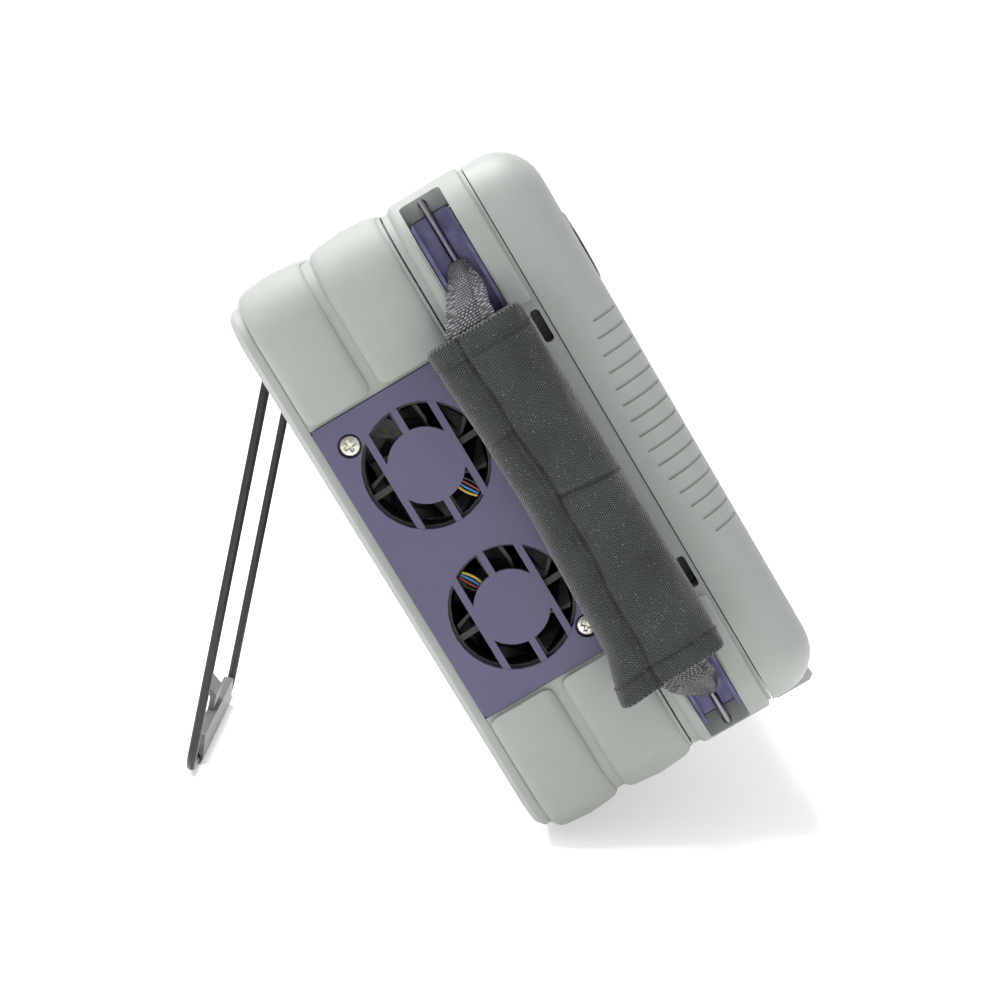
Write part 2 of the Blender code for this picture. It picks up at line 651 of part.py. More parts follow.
def n_connector(name, x, finish):
    """A panel socket: square flange under the bay's floor, barrel above it, and a centre contact."""
    top = bay_underside() - GAP
    half = N_FLANGE / 2
    heights = (top - N_FLANGE_THICKNESS, top)
    flange = box(bmesh.new(), (x - half, x + half), (N_DEPTH - half, N_DEPTH + half), heights)
    made = add(name, flange, finish, smooth=30)
    start = point(x, N_DEPTH, heights[0] + 0.2 * MM)
    length = N_FLANGE_THICKNESS - 0.2 * MM + GAP + BAY_WALL + N_BARREL_LENGTH
    join(made, "barrel", cylinder(bmesh.new(), start, UP, N_THREAD_RADIUS, length, 24))
    mouth = start + UP * (length - 9 * MM)
    cut(made, "bore", cylinder(bmesh.new(), mouth, UP, N_BORE_RADIUS, 10 * MM, 20))
    contact = cylinder(bmesh.new(), mouth - UP * 0.5 * MM, UP, N_PIN_RADIUS, 6.5 * MM, 12)
    return join(made, "contact", contact)


def sma_connector(finish):
    """A small coaxial socket with a hexagonal flange under the bay's floor."""
    flange = 2.4 * MM
    start = point(0, N_DEPTH, bay_underside() - GAP - flange)
    length = flange + GAP + BAY_WALL + SMA_LENGTH
    profile = [(SMA_RADIUS, 0), (SMA_RADIUS, length)]
    made = add("sma_connector", turned(bmesh.new(), start, UP, profile, 16), finish, smooth=30)
    return join(made, "flange", cylinder(bmesh.new(), start, UP, SMA_RADIUS + 1.6 * MM, flange, 6))


# ---------------------------------------------------------------- middle section
def rounded_outline(depths, heights, radius):
    """A rectangle of depths and heights with rounded corners."""
    back, front = depths[0] + radius, depths[1] - radius
    low, high = heights[0] + radius, heights[1] - radius
    outline = []
    for quarter, centre in enumerate(((front, high), (back, high), (back, low), (front, low))):
        outline += arc(centre, radius, 90 * quarter, 90 * quarter + 90, 3)
    return outline


def recess_cutter(bm, sx):
    """The side recess: straight along the case, with end walls that slope out to the rounded corners."""
    rim_x = SIDE - CORNER_RADIUS + math.sqrt(CORNER_RADIUS**2 - (CORNER_RADIUS - RECESS_END_RIM) ** 2)
    floor_x = SIDE - RECESS_DEPTH
    slope = (RECESS_END_FLOOR - RECESS_END_RIM) / (rim_x - floor_x)
    loops = []
    rim = SIDE - RECESS_CHAMFER
    for x in (SIDE - 1.6 * MID_SIDE_WALL, floor_x, rim, SIDE + 4 * MM):
        reach = MID_HEIGHT - RECESS_END_FLOOR + slope * max(0, x - floor_x)
        wider = max(0, x - rim)
        depths = (RECESS_BACK - wider, RECESS_FRONT + wider)
        outline = rounded_outline(depths, (MID_HEIGHT - reach, MID_HEIGHT + reach), RECESS_ROUND)
        loops.append([point(sx * x, depth, z) for depth, z in outline])
    return loft(bm, loops)


def block_edges():
    """Depth and inset down one side of a raised block: rounded at its back edge and at its front edge."""
    back = arc((BLOCK_BACK + BLOCK_BACK_ROUND, BLOCK_BACK_ROUND), BLOCK_BACK_ROUND, 180, 270, 3)
    front = arc((BLOCK_FRONT - BLOCK_FRONT_ROUND, BLOCK_FRONT_ROUND), BLOCK_FRONT_ROUND, 270, 360, 3)
    return back + front


def mid_frame(finish):
    band = prism(bmesh.new(), case_outline(MID_INSET), (MID_FRAME_BACK, MID_FRAME_FRONT))
    made = add("mid_frame", band, finish, smooth=35)
    blocks = bmesh.new()
    for sx in (-1, 1):
        for sz in (-1, 1):
            loops = []
            for depth, inset in block_edges():
                thickness = BLOCK_THICKNESS - inset
                reaches = (BLOCK_REACH + inset, BLOCK_TOP_REACH + inset)
                outline = corner_outline(sx, sz, inset, thickness, *reaches)
                loops.append([point(x, depth, z) for x, z in outline])
            loft(blocks, loops)
    join(made, "blocks", blocks)
    inside = bmesh.new()
    half_x, half_z = SIDE - MID_SIDE_WALL, MID_HEIGHT - MID_WALL
    through = (MID_FRAME_BACK - SKIN, MID_FRAME_FRONT + SKIN)
    box(inside, (-half_x, half_x), through, (MID_HEIGHT - half_z, MID_HEIGHT + half_z))
    cut(made, "inside", inside)
    recesses = bmesh.new()
    for sx in (-1, 1):
        recess_cutter(recesses, sx)
    cut(made, "recesses", recesses)
    slots = bmesh.new()
    depths = (LUG_SLOT_DEPTH - LUG_SLOT_WIDTH / 2, LUG_SLOT_DEPTH + LUG_SLOT_WIDTH / 2)
    for sx in (-1, 1):
        xs = sorted((sx * (SIDE - LUG_SLOT_CUT), sx * (SIDE + SKIN)))
        for sz in (-1, 1):
            height = MID_HEIGHT + sz * LUG_SLOT_REACH
            heights = (height - LUG_SLOT_LENGTH / 2, height + LUG_SLOT_LENGTH / 2)
            prism_x(slots, rounded_outline(depths, heights, LUG_SLOT_ROUND), xs)
    cut(made, "lug_slots", slots)
    holes = bmesh.new()
    for sz in (-1, 1):
        reach = MID_HEIGHT - ROD_END + GAP
        start = point(-(SIDE - ROD_SUNK), ROD_DEPTH, MID_HEIGHT + sz * reach)
        cylinder(holes, start, UP * -sz, ROD_RADIUS + GAP, 2 * RECESS_END_FLOOR, 12)
    return cut(made, "rod_holes", holes)


def channel(name, sx, finish):
    """A folded channel that lines the recess up to its end walls, open to the side."""
    reach = MID_HEIGHT - RECESS_END_FLOOR - GAP
    outer = SIDE - RECESS_DEPTH
    depths = (RECESS_BACK + GAP, RECESS_FRONT - GAP)
    heights = (MID_HEIGHT - reach, MID_HEIGHT + reach)
    xs = sorted((sx * (outer - CHANNEL_WALL), sx * (SIDE - CHANNEL_RIM)))
    outline = rounded_outline(depths, heights, RECESS_ROUND - GAP)
    made = add(name, prism_x(bmesh.new(), outline, xs), finish)
    hollow = (depths[0] + CHANNEL_WALL, depths[1] - CHANNEL_WALL)
    through = (MID_HEIGHT - reach - SKIN, MID_HEIGHT + reach + SKIN)
    trough = box(bmesh.new(), sorted((sx * outer, sx * SIDE)), hollow, through)
    return cut(made, "trough", trough)


def jack(name, sx, height, size, hollow, finish, tongue=None):
    """A socket standing on the channel's floor, open to the side. Sizes are (depth, height)."""
    base = SIDE - RECESS_DEPTH + GAP
    centre = (RECESS_BACK + RECESS_FRONT) / 2

    def bar(near, far, across):
        xs = sorted((sx * (base + near), sx * (base + far)))
        depths = (centre - across[0] / 2, centre + across[0] / 2)
        return box(bmesh.new(), xs, depths, (height - across[1] / 2, height + across[1] / 2))

    made = add(name, bar(0, JACK_LENGTH, size), finish)
    cut(made, "mouth", bar(JACK_FLOOR, RECESS_DEPTH + SKIN, hollow))
    if tongue:
        join(made, "tongue", bar(JACK_FLOOR / 2, JACK_LENGTH - 1 * MM, tongue))
    return made


def power_jack(height, finish):
    base = SIDE - RECESS_DEPTH + GAP
    start = point(base, (RECESS_BACK + RECESS_FRONT) / 2, height)
    shell = cylinder(bmesh.new(), start, RIGHT, 4.6 * MM, JACK_LENGTH, 20)
    made = add("power_jack", shell, finish, smooth=30)
    mouth = cylinder(bmesh.new(), start + RIGHT * JACK_FLOOR, RIGHT, 3.2 * MM, JACK_LENGTH, 16)
    cut(made, "mouth", mouth)
    pin = cylinder(bmesh.new(), start + RIGHT * 1.5 * MM, RIGHT, 1 * MM, JACK_LENGTH - 3 * MM, 10)
    return join(made, "pin", pin)


def door_hinge():
    return point(SIDE - DOOR_THICKNESS / 2, RECESS_FRONT - DOOR_HINGE_RADIUS - 2 * GAP, MID_HEIGHT)


def socket_door(finish):
    """The door over the sockets, with its hinge barrel along the front edge."""
    hinge = door_hinge()
    depths = (RECESS_BACK + 2 * GAP, -hinge.y - 0.5 * DOOR_HINGE_RADIUS)
    xs = (hinge.x - DOOR_THICKNESS / 2 + GAP, hinge.x + DOOR_THICKNESS / 2)
    plate = box(bmesh.new(), xs, depths, (MID_HEIGHT - DOOR_REACH, MID_HEIGHT + DOOR_REACH))
    made = add("socket_door", plate, finish, hinge, smooth=30)
    start = hinge - UP * (DOOR_REACH - 0.5 * MM)
    barrel = cylinder(bmesh.new(), start, UP, DOOR_HINGE_RADIUS, 2 * DOOR_REACH - 1 * MM, 12)
    return join(made, "barrel", barrel)


# ---------------------------------------------------------------- carrying strap
def sleeve_faces():
    inner = -(SIDE + SLEEVE_STANDOFF)
    return inner, inner - SLEEVE_THICKNESS


def strap_section(width, thickness, x, depth, height, steps=16):
    """A flattened round section of the strap, across its length."""
    loop = []
    for i in range(steps):
        a = 2 * math.pi * i / steps
        c, s = math.cos(a), math.sin(a)
        across = width / 2 * math.copysign(abs(c) ** 0.7, c)
        out = thickness / 2 * math.copysign(abs(s) ** 0.7, s)
        loop.append(point(x + out, depth + across, height))
    return loop


def strap_sleeve(finish):
    inner, outer = sleeve_faces()
    x = (inner + outer) / 2
    half = SLEEVE_LENGTH / 2
    loops = []
    for index, width in enumerate(SLEEVE_WIDTHS):
        height = STRAP_CENTRE - half + SLEEVE_LENGTH * index / (len(SLEEVE_WIDTHS) - 1)
        loops.append(strap_section(width, SLEEVE_THICKNESS, x, STRAP_DEPTH, height))
    made = add("strap_sleeve", loft(bmesh.new(), loops), finish, smooth=50)
    width, thickness = min(SLEEVE_WIDTHS) - 2 * SLEEVE_WALL, SLEEVE_THICKNESS - 2 * SLEEVE_WALL
    ends = (STRAP_CENTRE - 1.1 * half, STRAP_CENTRE + 1.1 * half)
    bore = [strap_section(width, thickness, x, STRAP_DEPTH, height) for height in ends]
    return cut(made, "bore", loft(bmesh.new(), bore))


def strap_neck(sz):
    """The height where one end of the webbing is gathered round its rod."""
    return STRAP_CENTRE + sz * STRAP_SPAN / 2


def strap_web(name, sz, finish):
    """One end of the webbing: flat in the sleeve's mouth, then gathered down to its rod."""
    inner, outer = sleeve_faces()
    sleeve_x = (inner + outer) / 2
    mouth = STRAP_CENTRE + sz * SLEEVE_LENGTH / 2
    half_way = (mouth + strap_neck(sz)) / 2
    stations = (
        (mouth - sz * WEB_OVERLAP, sleeve_x, STRAP_DEPTH, WEB_WIDTH, WEB_THICKNESS),
        (mouth, sleeve_x, STRAP_DEPTH, WEB_WIDTH, WEB_THICKNESS),
        (half_way, -(SIDE + 5.5 * MM), ROD_DEPTH - 1 * MM, WEB_WIDTH * 0.7, WEB_THICKNESS * 1.3),
        (strap_neck(sz), -(SIDE - ROD_SUNK + 1 * MM), ROD_DEPTH, WEB_NECK_WIDTH, WEB_THICKNESS * 1.25),
    )
    loops = [
        strap_section(width, thick, x, depth, height, 12)
        for height, x, depth, width, thick in stations
    ]
    return add(name, loft(bmesh.new(), loops), finish, smooth=50)


def strap_rod(name, sz, finish):
    """The steel rod that leaves the recess's end wall and holds the webbing."""
    start = point(-(SIDE - ROD_SUNK), ROD_DEPTH, strap_neck(sz) + sz * GAP)
    length = abs(MID_HEIGHT + sz * (MID_HEIGHT - ROD_END) - start.z)
    return add(name, cylinder(bmesh.new(), start, UP * sz, ROD_RADIUS, length, 12), finish, smooth=30)


# ---------------------------------------------------------------- front section
def key_places():
    """Each key's name, its centre and its size."""
    keys = []
    top = GLASS_CENTRE[1] + SOFT_KEY_PITCH * (SOFT_KEYS - 1) / 2
    for index in range(SOFT_KEYS):
        keys.append((f"soft_key_{index + 1}", (SOFT_KEY_X, top - SOFT_KEY_PITCH * index), SOFT_KEY_SIZE))
    for row, height in enumerate(FUNCTION_KEY_ROWS):
        for column, x in enumerate(FUNCTION_KEY_COLUMNS):
            keys.append((f"function_key_{2 * row + column + 1}", (x, height), FUNCTION_KEY_SIZE))
    return keys


def bezel_edge(steps=7):
    """Depth and inset of the bezel's outline, straight first and then rolled in to the face."""
    centre = (BEZEL_FRONT - BEZEL_ROUNDING, BEZEL_INSET + BEZEL_ROUNDING)
    return [(BEZEL_BACK, BEZEL_INSET), *arc(centre, BEZEL_ROUNDING, -90, 0, steps)]


def bezel_inset(depth):
    along = (depth - (BEZEL_FRONT - BEZEL_ROUNDING)) / BEZEL_ROUNDING
    return BEZEL_INSET + BEZEL_ROUNDING * (1 - math.sqrt(1 - max(0, along) ** 2))


def groove_cutter(bm, sx, height, length):
    """A thin slice that follows the rolled side of the bezel at one depth below its surface."""
    start = BEZEL_FRONT - length
    stations = [start + (length - 0.9 * MM) * i / 6 for i in range(7)]
    inner = [(SIDE - bezel_inset(depth) - GROOVE_CUT, depth) for depth in stations]
    outline = [(SIDE + SKIN, start - 0.6 * MM), *inner, (SIDE + SKIN, stations[-1] + 0.6 * MM)]
    half = GROOVE_WIDTH / 2
    ends = (height - half, height + half)
    return loft(bm, [[point(sx * x, depth, z) for x, depth in outline] for z in ends])


def bezel(finish):
    """The front shell: full outline at the seam, rolling in to the flat front face."""
    loops = [[point(x, depth, z) for x, z in case_outline(inset)] for depth, inset in bezel_edge()]
    made = add("front_bezel", loft(bmesh.new(), loops), finish, smooth=35)
    grooves = bmesh.new()
    middle = (GROOVES - 1) / 2
    for index in range(GROOVES):
        share = (index - middle) / middle
        length = GROOVE_LONG + (GROOVE_SHORT - GROOVE_LONG) * share * share
        for sx in (-1, 1):
            groove_cutter(grooves, sx, MID_HEIGHT + (index - middle) * GROOVE_PITCH, length)
    cut(made, "grip_grooves", grooves)
    hollow = (BEZEL_BACK - SKIN, BEZEL_FRONT - BEZEL_WALL - GLASS_THICKNESS)
    cut(made, "inside", prism(bmesh.new(), case_outline(BEZEL_HOLLOW, 3), hollow))
    through = bmesh.new()
    x, height = GLASS_CENTRE
    depths = (BEZEL_BACK, BEZEL_FRONT + SKIN)
    a, b = GLASS_WIDTH / 2 - GLASS_LEDGE, GLASS_HEIGHT / 2 - GLASS_LEDGE
    box(through, (x - a, x + a), depths, (height - b, height + b))
    for _, (kx, kz), (w, h) in key_places():
        a, b = w / 2 + KEY_CLEARANCE, h / 2 + KEY_CLEARANCE
        box(through, (kx - a, kx + a), depths, (kz - b, kz + b))
    start = point(POWER_KEY_PLACE[0], BEZEL_BACK, POWER_KEY_PLACE[1])
    cylinder(through, start, FORWARD, POWER_KEY_RADIUS + KEY_CLEARANCE, 2 * BEZEL_LENGTH, 20)
    start = point(KNOB_PLACE[0], BEZEL_BACK, KNOB_PLACE[1])
    cylinder(through, start, FORWARD, KNOB_SHAFT_RADIUS + KEY_CLEARANCE, 2 * BEZEL_LENGTH, 16)
    cut(made, "through", through)
    seat = bmesh.new()
    a, b = GLASS_WIDTH / 2 + GAP, GLASS_HEIGHT / 2 + GAP
    depths = (BEZEL_FRONT - GLASS_THICKNESS - GAP, BEZEL_FRONT + SKIN)
    box(seat, (x - a, x + a), depths, (height - b, height + b))
    return cut(made, "glass_seat", seat)


def display(materials):
    x, height = GLASS_CENTRE
    front = BEZEL_FRONT - 0.1 * MM
    a, b = GLASS_WIDTH / 2, GLASS_HEIGHT / 2
    back = BEZEL_FRONT - GLASS_THICKNESS
    pane = box(bmesh.new(), (x - a, x + a), (back, front), (height - b, height + b))
    add("display_glass", pane, materials["glass"])
    w, h, t = LCD_SIZE
    lcd_front = back - GAP
    heights = (height - h / 2, height + h / 2)
    lcd = box(bmesh.new(), (x - w / 2, x + w / 2), (lcd_front - t, lcd_front), heights)
    add("lcd_module", lcd, materials["can"])
    board_front = lcd_front - t - GAP
    outline = case_outline(BEZEL_HOLLOW + GAP, 3)
    board = prism(bmesh.new(), outline, (board_front - BOARD_THICKNESS, board_front))
    add("front_board", board, materials["board"])


def key(name, place, size, finish):
    x, height = place
    a, b = size[0] / 2, size[1] / 2
    front = BEZEL_FRONT + KEY_PROUD
    cap = box(bmesh.new(), (x - a, x + a), (front - KEY_LENGTH, front), (height - b, height + b))
    return bevel(add(name, cap, finish, point(x, front, height)), 0.8 * MM)


def power_key(finish):
    x, height = POWER_KEY_PLACE
    origin = point(x, BEZEL_FRONT + KEY_PROUD, height)
    bm = cylinder(bmesh.new(), origin, BACKWARD, POWER_KEY_RADIUS, KEY_LENGTH, 20)
    return bevel(add("power_key", bm, finish, origin, smooth=30), 0.6 * MM)


def knob(finish):
    x, height = KNOB_PLACE
    origin = point(x, BEZEL_FRONT + GAP + 0.3 * MM, height)
    bm = cylinder(bmesh.new(), origin, FORWARD, KNOB_RADIUS, KNOB_HEIGHT, 36, KNOB_RADIUS - 1.2 * MM)
    made = add("tuning_knob", bm, finish, origin, smooth=30)
    shaft = cylinder(bmesh.new(), origin + FORWARD * 1 * MM, BACKWARD, KNOB_SHAFT_RADIUS, 9 * MM, 14)
    join(made, "shaft", shaft)
    spot = origin + FORWARD * (KNOB_HEIGHT - 1.2 * MM) + UP * 9.5 * MM
    return cut(made, "finger_dimple", cylinder(bmesh.new(), spot, FORWARD, 4 * MM, 3 * MM, 18))


def front_foot(name, sx, finish):
    """A rubber foot under the bezel, flat below and rounded in front, that follows the bezel's edge."""
    back = BEZEL_BACK + 2 * GAP
    stations = [back + (FOOT_FRONT - back) * i / 6 for i in range(7)]
    top = [(depth, bezel_inset(depth) - 1.5 * GAP) for depth in stations]
    bottom = [(back, -1.2 * MM), (back + 1 * MM, -FOOT_DROP), (FOOT_FRONT - 1 * MM, -FOOT_DROP)]
    outline = [*bottom, (FOOT_FRONT + 0.8 * MM, -FOOT_DROP + 1.4 * MM), *top[::-1]]
    xs = sorted((sx * (FOOT_X - FOOT_WIDTH / 2), sx * (FOOT_X + FOOT_WIDTH / 2)))
    return add(name, prism_x(bmesh.new(), outline, xs), finish, smooth=30)


def rear_foot(name, sx, finish):
    """A rubber foot under the bottom plate, that the leaned instrument stands on."""
    seat = SKIN - PANEL_THICKNESS - GAP
    outline = [
        (REAR_FOOT_BACK, seat),
        (REAR_FOOT_BACK, -REAR_FOOT_DROP + 1 * MM),
        (REAR_FOOT_BACK + 1 * MM, -REAR_FOOT_DROP),
        (REAR_FOOT_FRONT - 4 * MM, -REAR_FOOT_DROP),
        (REAR_FOOT_FRONT, -1.2 * MM),
        (REAR_FOOT_FRONT, seat),
    ]
    xs = sorted((sx * (REAR_FOOT_X - FOOT_WIDTH / 2), sx * (REAR_FOOT_X + FOOT_WIDTH / 2)))
    return add(name, prism_x(bmesh.new(), outline, xs), finish, smooth=30)


# ---------------------------------------------------------------- inside
def inside_pieces(materials):
    """The main board across the middle frame, and the modules that stand on the rear case's walls."""
    half_x = SIDE - MID_SIDE_WALL - GAP
    half_z = MID_HEIGHT - MID_WALL - GAP
    depths = (MID_FRAME_BACK, MID_FRAME_BACK + BOARD_THICKNESS)
    board = box(bmesh.new(), (-half_x, half_x), depths, (MID_HEIGHT - half_z, MID_HEIGHT + half_z))
    add("main_board", board, materials["board"])
    back = BUMPER_BACK + REAR_WALL + GAP
    width, depth, height = MODULE_SIZE
    heights = (MODULE_TOP - height, MODULE_TOP)
    tuner = box(bmesh.new(), (-width / 2, width / 2), (back, back + depth), heights)
    bevel(add("rf_module", tuner, materials["can"]), 1 * MM)
    floor = SKIN + GAP + REAR_WALL + GAP
    width, depth, height = BATTERY_SIZE
    cells = box(bmesh.new(), (-width / 2, width / 2), (back, back + depth), (floor, floor + height))
    bevel(add("battery_pack", cells, materials["black"]), 2 * MM)


# ---------------------------------------------------------------- bail
def lowest_point():
    """The lowest height of what is built so far, with the case leaned back."""
    bpy.context.view_layer.update()
    graph = bpy.context.evaluated_depsgraph_get()
    low = math.inf
    for shown in bpy.data.objects:
        if shown.type != "MESH" or shown.hide_render:
            continue
        mesh = shown.evaluated_get(graph).to_mesh()
        low = min(low, min((shown.matrix_world @ v.co).z for v in mesh.vertices))
    return low


def bail_hinge():
    return point(0, -BAIL_STANDOFF, BAIL_HINGE_HEIGHT)


def bail_angle():
    """How far the bail swings out from the case's back until its foot meets the floor."""
    floor = lowest_point()
    hinge = bpy.data.objects["case_frame"].matrix_world @ bail_hinge()
    return LEAN + math.acos((hinge.z - floor - BAIL_FOOT_RADIUS) / BAIL_LENGTH)


def bail(materials):
    """A bent wire with its ends in the back cover's lugs, and a moulded foot round its lower bar."""
    swing = bail_angle()
    hinge = bpy.data.objects.new("bail_hinge", None)
    bpy.context.scene.collection.objects.link(hinge)
    hinge.parent = bpy.data.objects["case_frame"]
    hinge.location = bail_hinge()
    hinge.rotation_euler = (swing, 0, 0)
    half = BAIL_WIDTH / 2
    pin = half + BAIL_WIRE_RADIUS + BAIL_PIN
    side = [(pin, 0), (half + 2.2 * MM, 0)]
    side += arc((half + 2.2 * MM, -2.2 * MM), 2.2 * MM, 90, 180, 4)[1:]
    side += [(half, -BAIL_LENGTH * share) for share in (0.3, 0.6)]
    bend = arc((half - BAIL_BEND, -BAIL_LENGTH + BAIL_BEND), BAIL_BEND, 0, -90, 6)
    route = side + bend
    route = route + [(-x, z) for x, z in reversed(route)]
    curve = bpy.data.curves.new("bail_wire", "CURVE")
    curve.dimensions = "3D"
    curve.bevel_depth = BAIL_WIRE_RADIUS
    curve.bevel_resolution = 3
    curve.use_fill_caps = True
    line = curve.splines.new("POLY")
    line.points.add(len(route) - 1)
    for spot, (x, z) in zip(line.points, route):
        spot.co = (x, 0, z, 1)
    curve.materials.append(materials["wire"])
    wire = bpy.data.objects.new("bail_wire", curve)
    bpy.context.scene.collection.objects.link(wire)
    wire.parent = hinge
    foot = bmesh.new()
    top = -BAIL_LENGTH + BAIL_FOOT_HEIGHT
    outline = arc((0, -BAIL_LENGTH), BAIL_FOOT_RADIUS, 180, 360, 10)
    outline += [(BAIL_FOOT_RADIUS * 0.7, top), (-BAIL_FOOT_RADIUS * 0.7, top)]
    ends = (-BAIL_FOOT_LENGTH / 2, BAIL_FOOT_LENGTH / 2)
    loft(foot, [[Vector((x, y, z)) for y, z in outline] for x in ends])
    made = add("bail_foot", foot, materials["foot"], smooth=30)
    made.parent = hinge
    start = Vector((-BAIL_FOOT_LENGTH, 0, -BAIL_LENGTH))
    hole = cylinder(bmesh.new(), start, RIGHT, BAIL_WIRE_RADIUS + GAP, 2 * BAIL_FOOT_LENGTH, 16)
    cut(made, "wire_hole", hole)
    catch = bmesh.new()
    hook = ((-0.4, -2), (1.8, -2), (1.8, 5), (4.4, 8), (4.4, 10), (-0.4, 6))
    profile = [(y * MM, top + z * MM) for y, z in hook]
    loft(catch, [[Vector((x, y, z)) for y, z in profile] for x in (-9 * MM, 9 * MM)])
    join(made, "catch", catch)
    for cutter in ("bail_foot_wire_hole", "bail_foot_catch"):
        bpy.data.objects[cutter].parent = hinge


# ---------------------------------------------------------------- the whole instrument
def stand_on_floor():
    """Puts the middle of the whole object's box over the origin, with its lowest point on the floor."""
    bpy.context.view_layer.update()
    graph = bpy.context.evaluated_depsgraph_get()
    spots = []
    for shown in bpy.data.objects:
        if shown.type in ("MESH", "CURVE") and not shown.hide_render:
            evaluated = shown.evaluated_get(graph)
            spots += [evaluated.matrix_world @ v.co for v in evaluated.to_mesh().vertices]
    low = [min(p[k] for p in spots) for k in range(3)]
    high = [max(p[k] for p in spots) for k in range(3)]
    frame = bpy.data.objects["case_frame"]
    frame.location = (-(low[0] + high[0]) / 2, -(low[1] + high[1]) / 2, -low[2])


def build():
    clear_scene()
    frame = bpy.data.objects.new("case_frame", None)
    bpy.context.scene.collection.objects.link(frame)
    frame.rotation_euler = (-LEAN, 0, 0)
    finishes = make_materials()
    rear_case(finishes["shell"])
    back_cover(finishes["shell"])
    for top, sz in (("top", 1), ("bottom", -1)):
        for side, sx in (("left", -1), ("right", 1)):
            corner_bumper(f"corner_bumper_{top}_{side}", sx, sz, finishes["rubber"])
    fan_panel(finishes["purple"])
    for which, depth, height in screw_places():
        panel_screw(f"panel_screw_{which}", depth, height, finishes["steel"])
    for which, height in fan_centres():
        fan_frame(f"fan_frame_{which}", height, finishes["black"])
        fan_rotor(f"fan_rotor_{which}", height, finishes["black"])
    for (which, height), toward in zip(fan_centres(), LEAD_TURNS):
        fan_lead(f"fan_lead_{which}", height, toward, finishes["lead"])
    vent_panel(finishes["purple"])
    rf_panel(finishes["purple"])
    top_plate("battery_door", -1, finishes["shell"])
    n_connector("rf_input", -N_PITCH / 2, finishes["brass"])
    n_connector("rf_output", N_PITCH / 2, finishes["brass"])
    sma_connector(finishes["brass"])
    mid_frame(finishes["rubber"])
    channel("strap_channel", -1, finishes["purple"])
    channel("socket_channel", 1, finishes["purple"])
    network, network_mouth = (10.4 * MM, 15 * MM), (8 * MM, 11.8 * MM)
    usb, usb_mouth, tongue = (7.2 * MM, 14.5 * MM), (5.6 * MM, 12.6 * MM), (2 * MM, 11 * MM)
    jack("network_jack", 1, MID_HEIGHT + 24 * MM, network, network_mouth, finishes["steel"])
    jack("usb_jack", 1, MID_HEIGHT + 2 * MM, usb, usb_mouth, finishes["steel"], tongue)
    power_jack(MID_HEIGHT - 24 * MM, finishes["black"])
    socket_door(finishes["rubber"])
    strap_sleeve(finishes["fabric"])
    for which, sz in (("upper", 1), ("lower", -1)):
        strap_web(f"strap_webbing_{which}", sz, finishes["fabric"])
        strap_rod(f"strap_rod_{which}", sz, finishes["steel"])
    bezel(finishes["shell"])
    display(finishes)
    for name, place, size in key_places():
        key(name, place, size, finishes["key"])
    power_key(finishes["key"])
    knob(finishes["black"])
    for side, sx in (("left", -1), ("right", 1)):
        front_foot(f"front_foot_{side}", sx, finishes["foot"])
        rear_foot(f"rear_foot_{side}", sx, finishes["foot"])
    inside_pieces(finishes)
    bail(finishes)
    stand_on_floor()


build()
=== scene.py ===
# %% [markdown]
# # A portable spectrum analyzer, leaning on its wire bail
#
# The instrument is a rounded grey case with soft bumpers, an indigo side panel with two
# small fans, and a padded carrying strap over a recess. Its solid pieces come ready made, in one
# shared frame. This lesson gives each of them a finish worked out from noise and waves, and
# makes the soft and fine pieces anew: sleeve, webbing, wires, screws and bail.

# %% Load the frame
import json
import math

import bmesh
import bpy
import numpy as np
from mathutils import Matrix, Vector


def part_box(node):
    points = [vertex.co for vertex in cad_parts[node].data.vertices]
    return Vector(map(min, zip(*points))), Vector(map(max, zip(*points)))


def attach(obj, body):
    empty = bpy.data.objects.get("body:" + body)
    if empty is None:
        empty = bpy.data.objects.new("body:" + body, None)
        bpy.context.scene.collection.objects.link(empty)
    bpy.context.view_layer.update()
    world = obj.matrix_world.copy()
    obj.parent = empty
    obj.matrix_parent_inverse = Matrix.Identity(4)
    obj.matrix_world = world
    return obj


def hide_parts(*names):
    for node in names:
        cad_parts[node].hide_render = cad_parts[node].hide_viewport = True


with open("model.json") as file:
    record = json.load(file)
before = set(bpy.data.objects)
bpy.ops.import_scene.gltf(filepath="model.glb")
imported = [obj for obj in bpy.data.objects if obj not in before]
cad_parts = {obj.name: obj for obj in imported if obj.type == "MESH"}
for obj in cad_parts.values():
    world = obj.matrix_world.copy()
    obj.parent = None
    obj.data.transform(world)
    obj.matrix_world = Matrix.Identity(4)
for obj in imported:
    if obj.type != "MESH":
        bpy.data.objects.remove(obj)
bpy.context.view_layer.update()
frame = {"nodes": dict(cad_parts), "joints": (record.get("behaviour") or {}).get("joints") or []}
NODES = frame["nodes"]

# %% [markdown]
# The case leans back by 30 degrees, so its own directions are easier to think in: across it,
# from its back to its front, and up along it. The bail's hinge is a point that is known in both
# systems, so it fixes where the case's own origin lies in the world.

# %% The case's own directions
MM = 0.001
LEAN = math.radians(30)
ACROSS = np.array([1.0, 0.0, 0.0])
FORWARD = np.array([0.0, -math.cos(LEAN), math.sin(LEAN)])
UPWARD = np.array([0.0, math.sin(LEAN), math.cos(LEAN)])
CASE_AXES = np.stack([ACROSS, FORWARD, UPWARD])
BAIL_HINGE = np.array([0.0, -3.2, 174.2]) * MM  # in the case's own directions

joints = {joint["name"]: joint for joint in frame["joints"]}
bail_hinge = np.array(joints["bail_hinge"]["pos_m"])
case_origin = bail_hinge - BAIL_HINGE @ CASE_AXES


def case_place(points):
    """World place of points (across, forward, up): the origin plus each share of a direction."""
    return case_origin + np.asarray(points) @ CASE_AXES


print("the case's origin in the world, mm:", (case_origin * 1000).round(2))

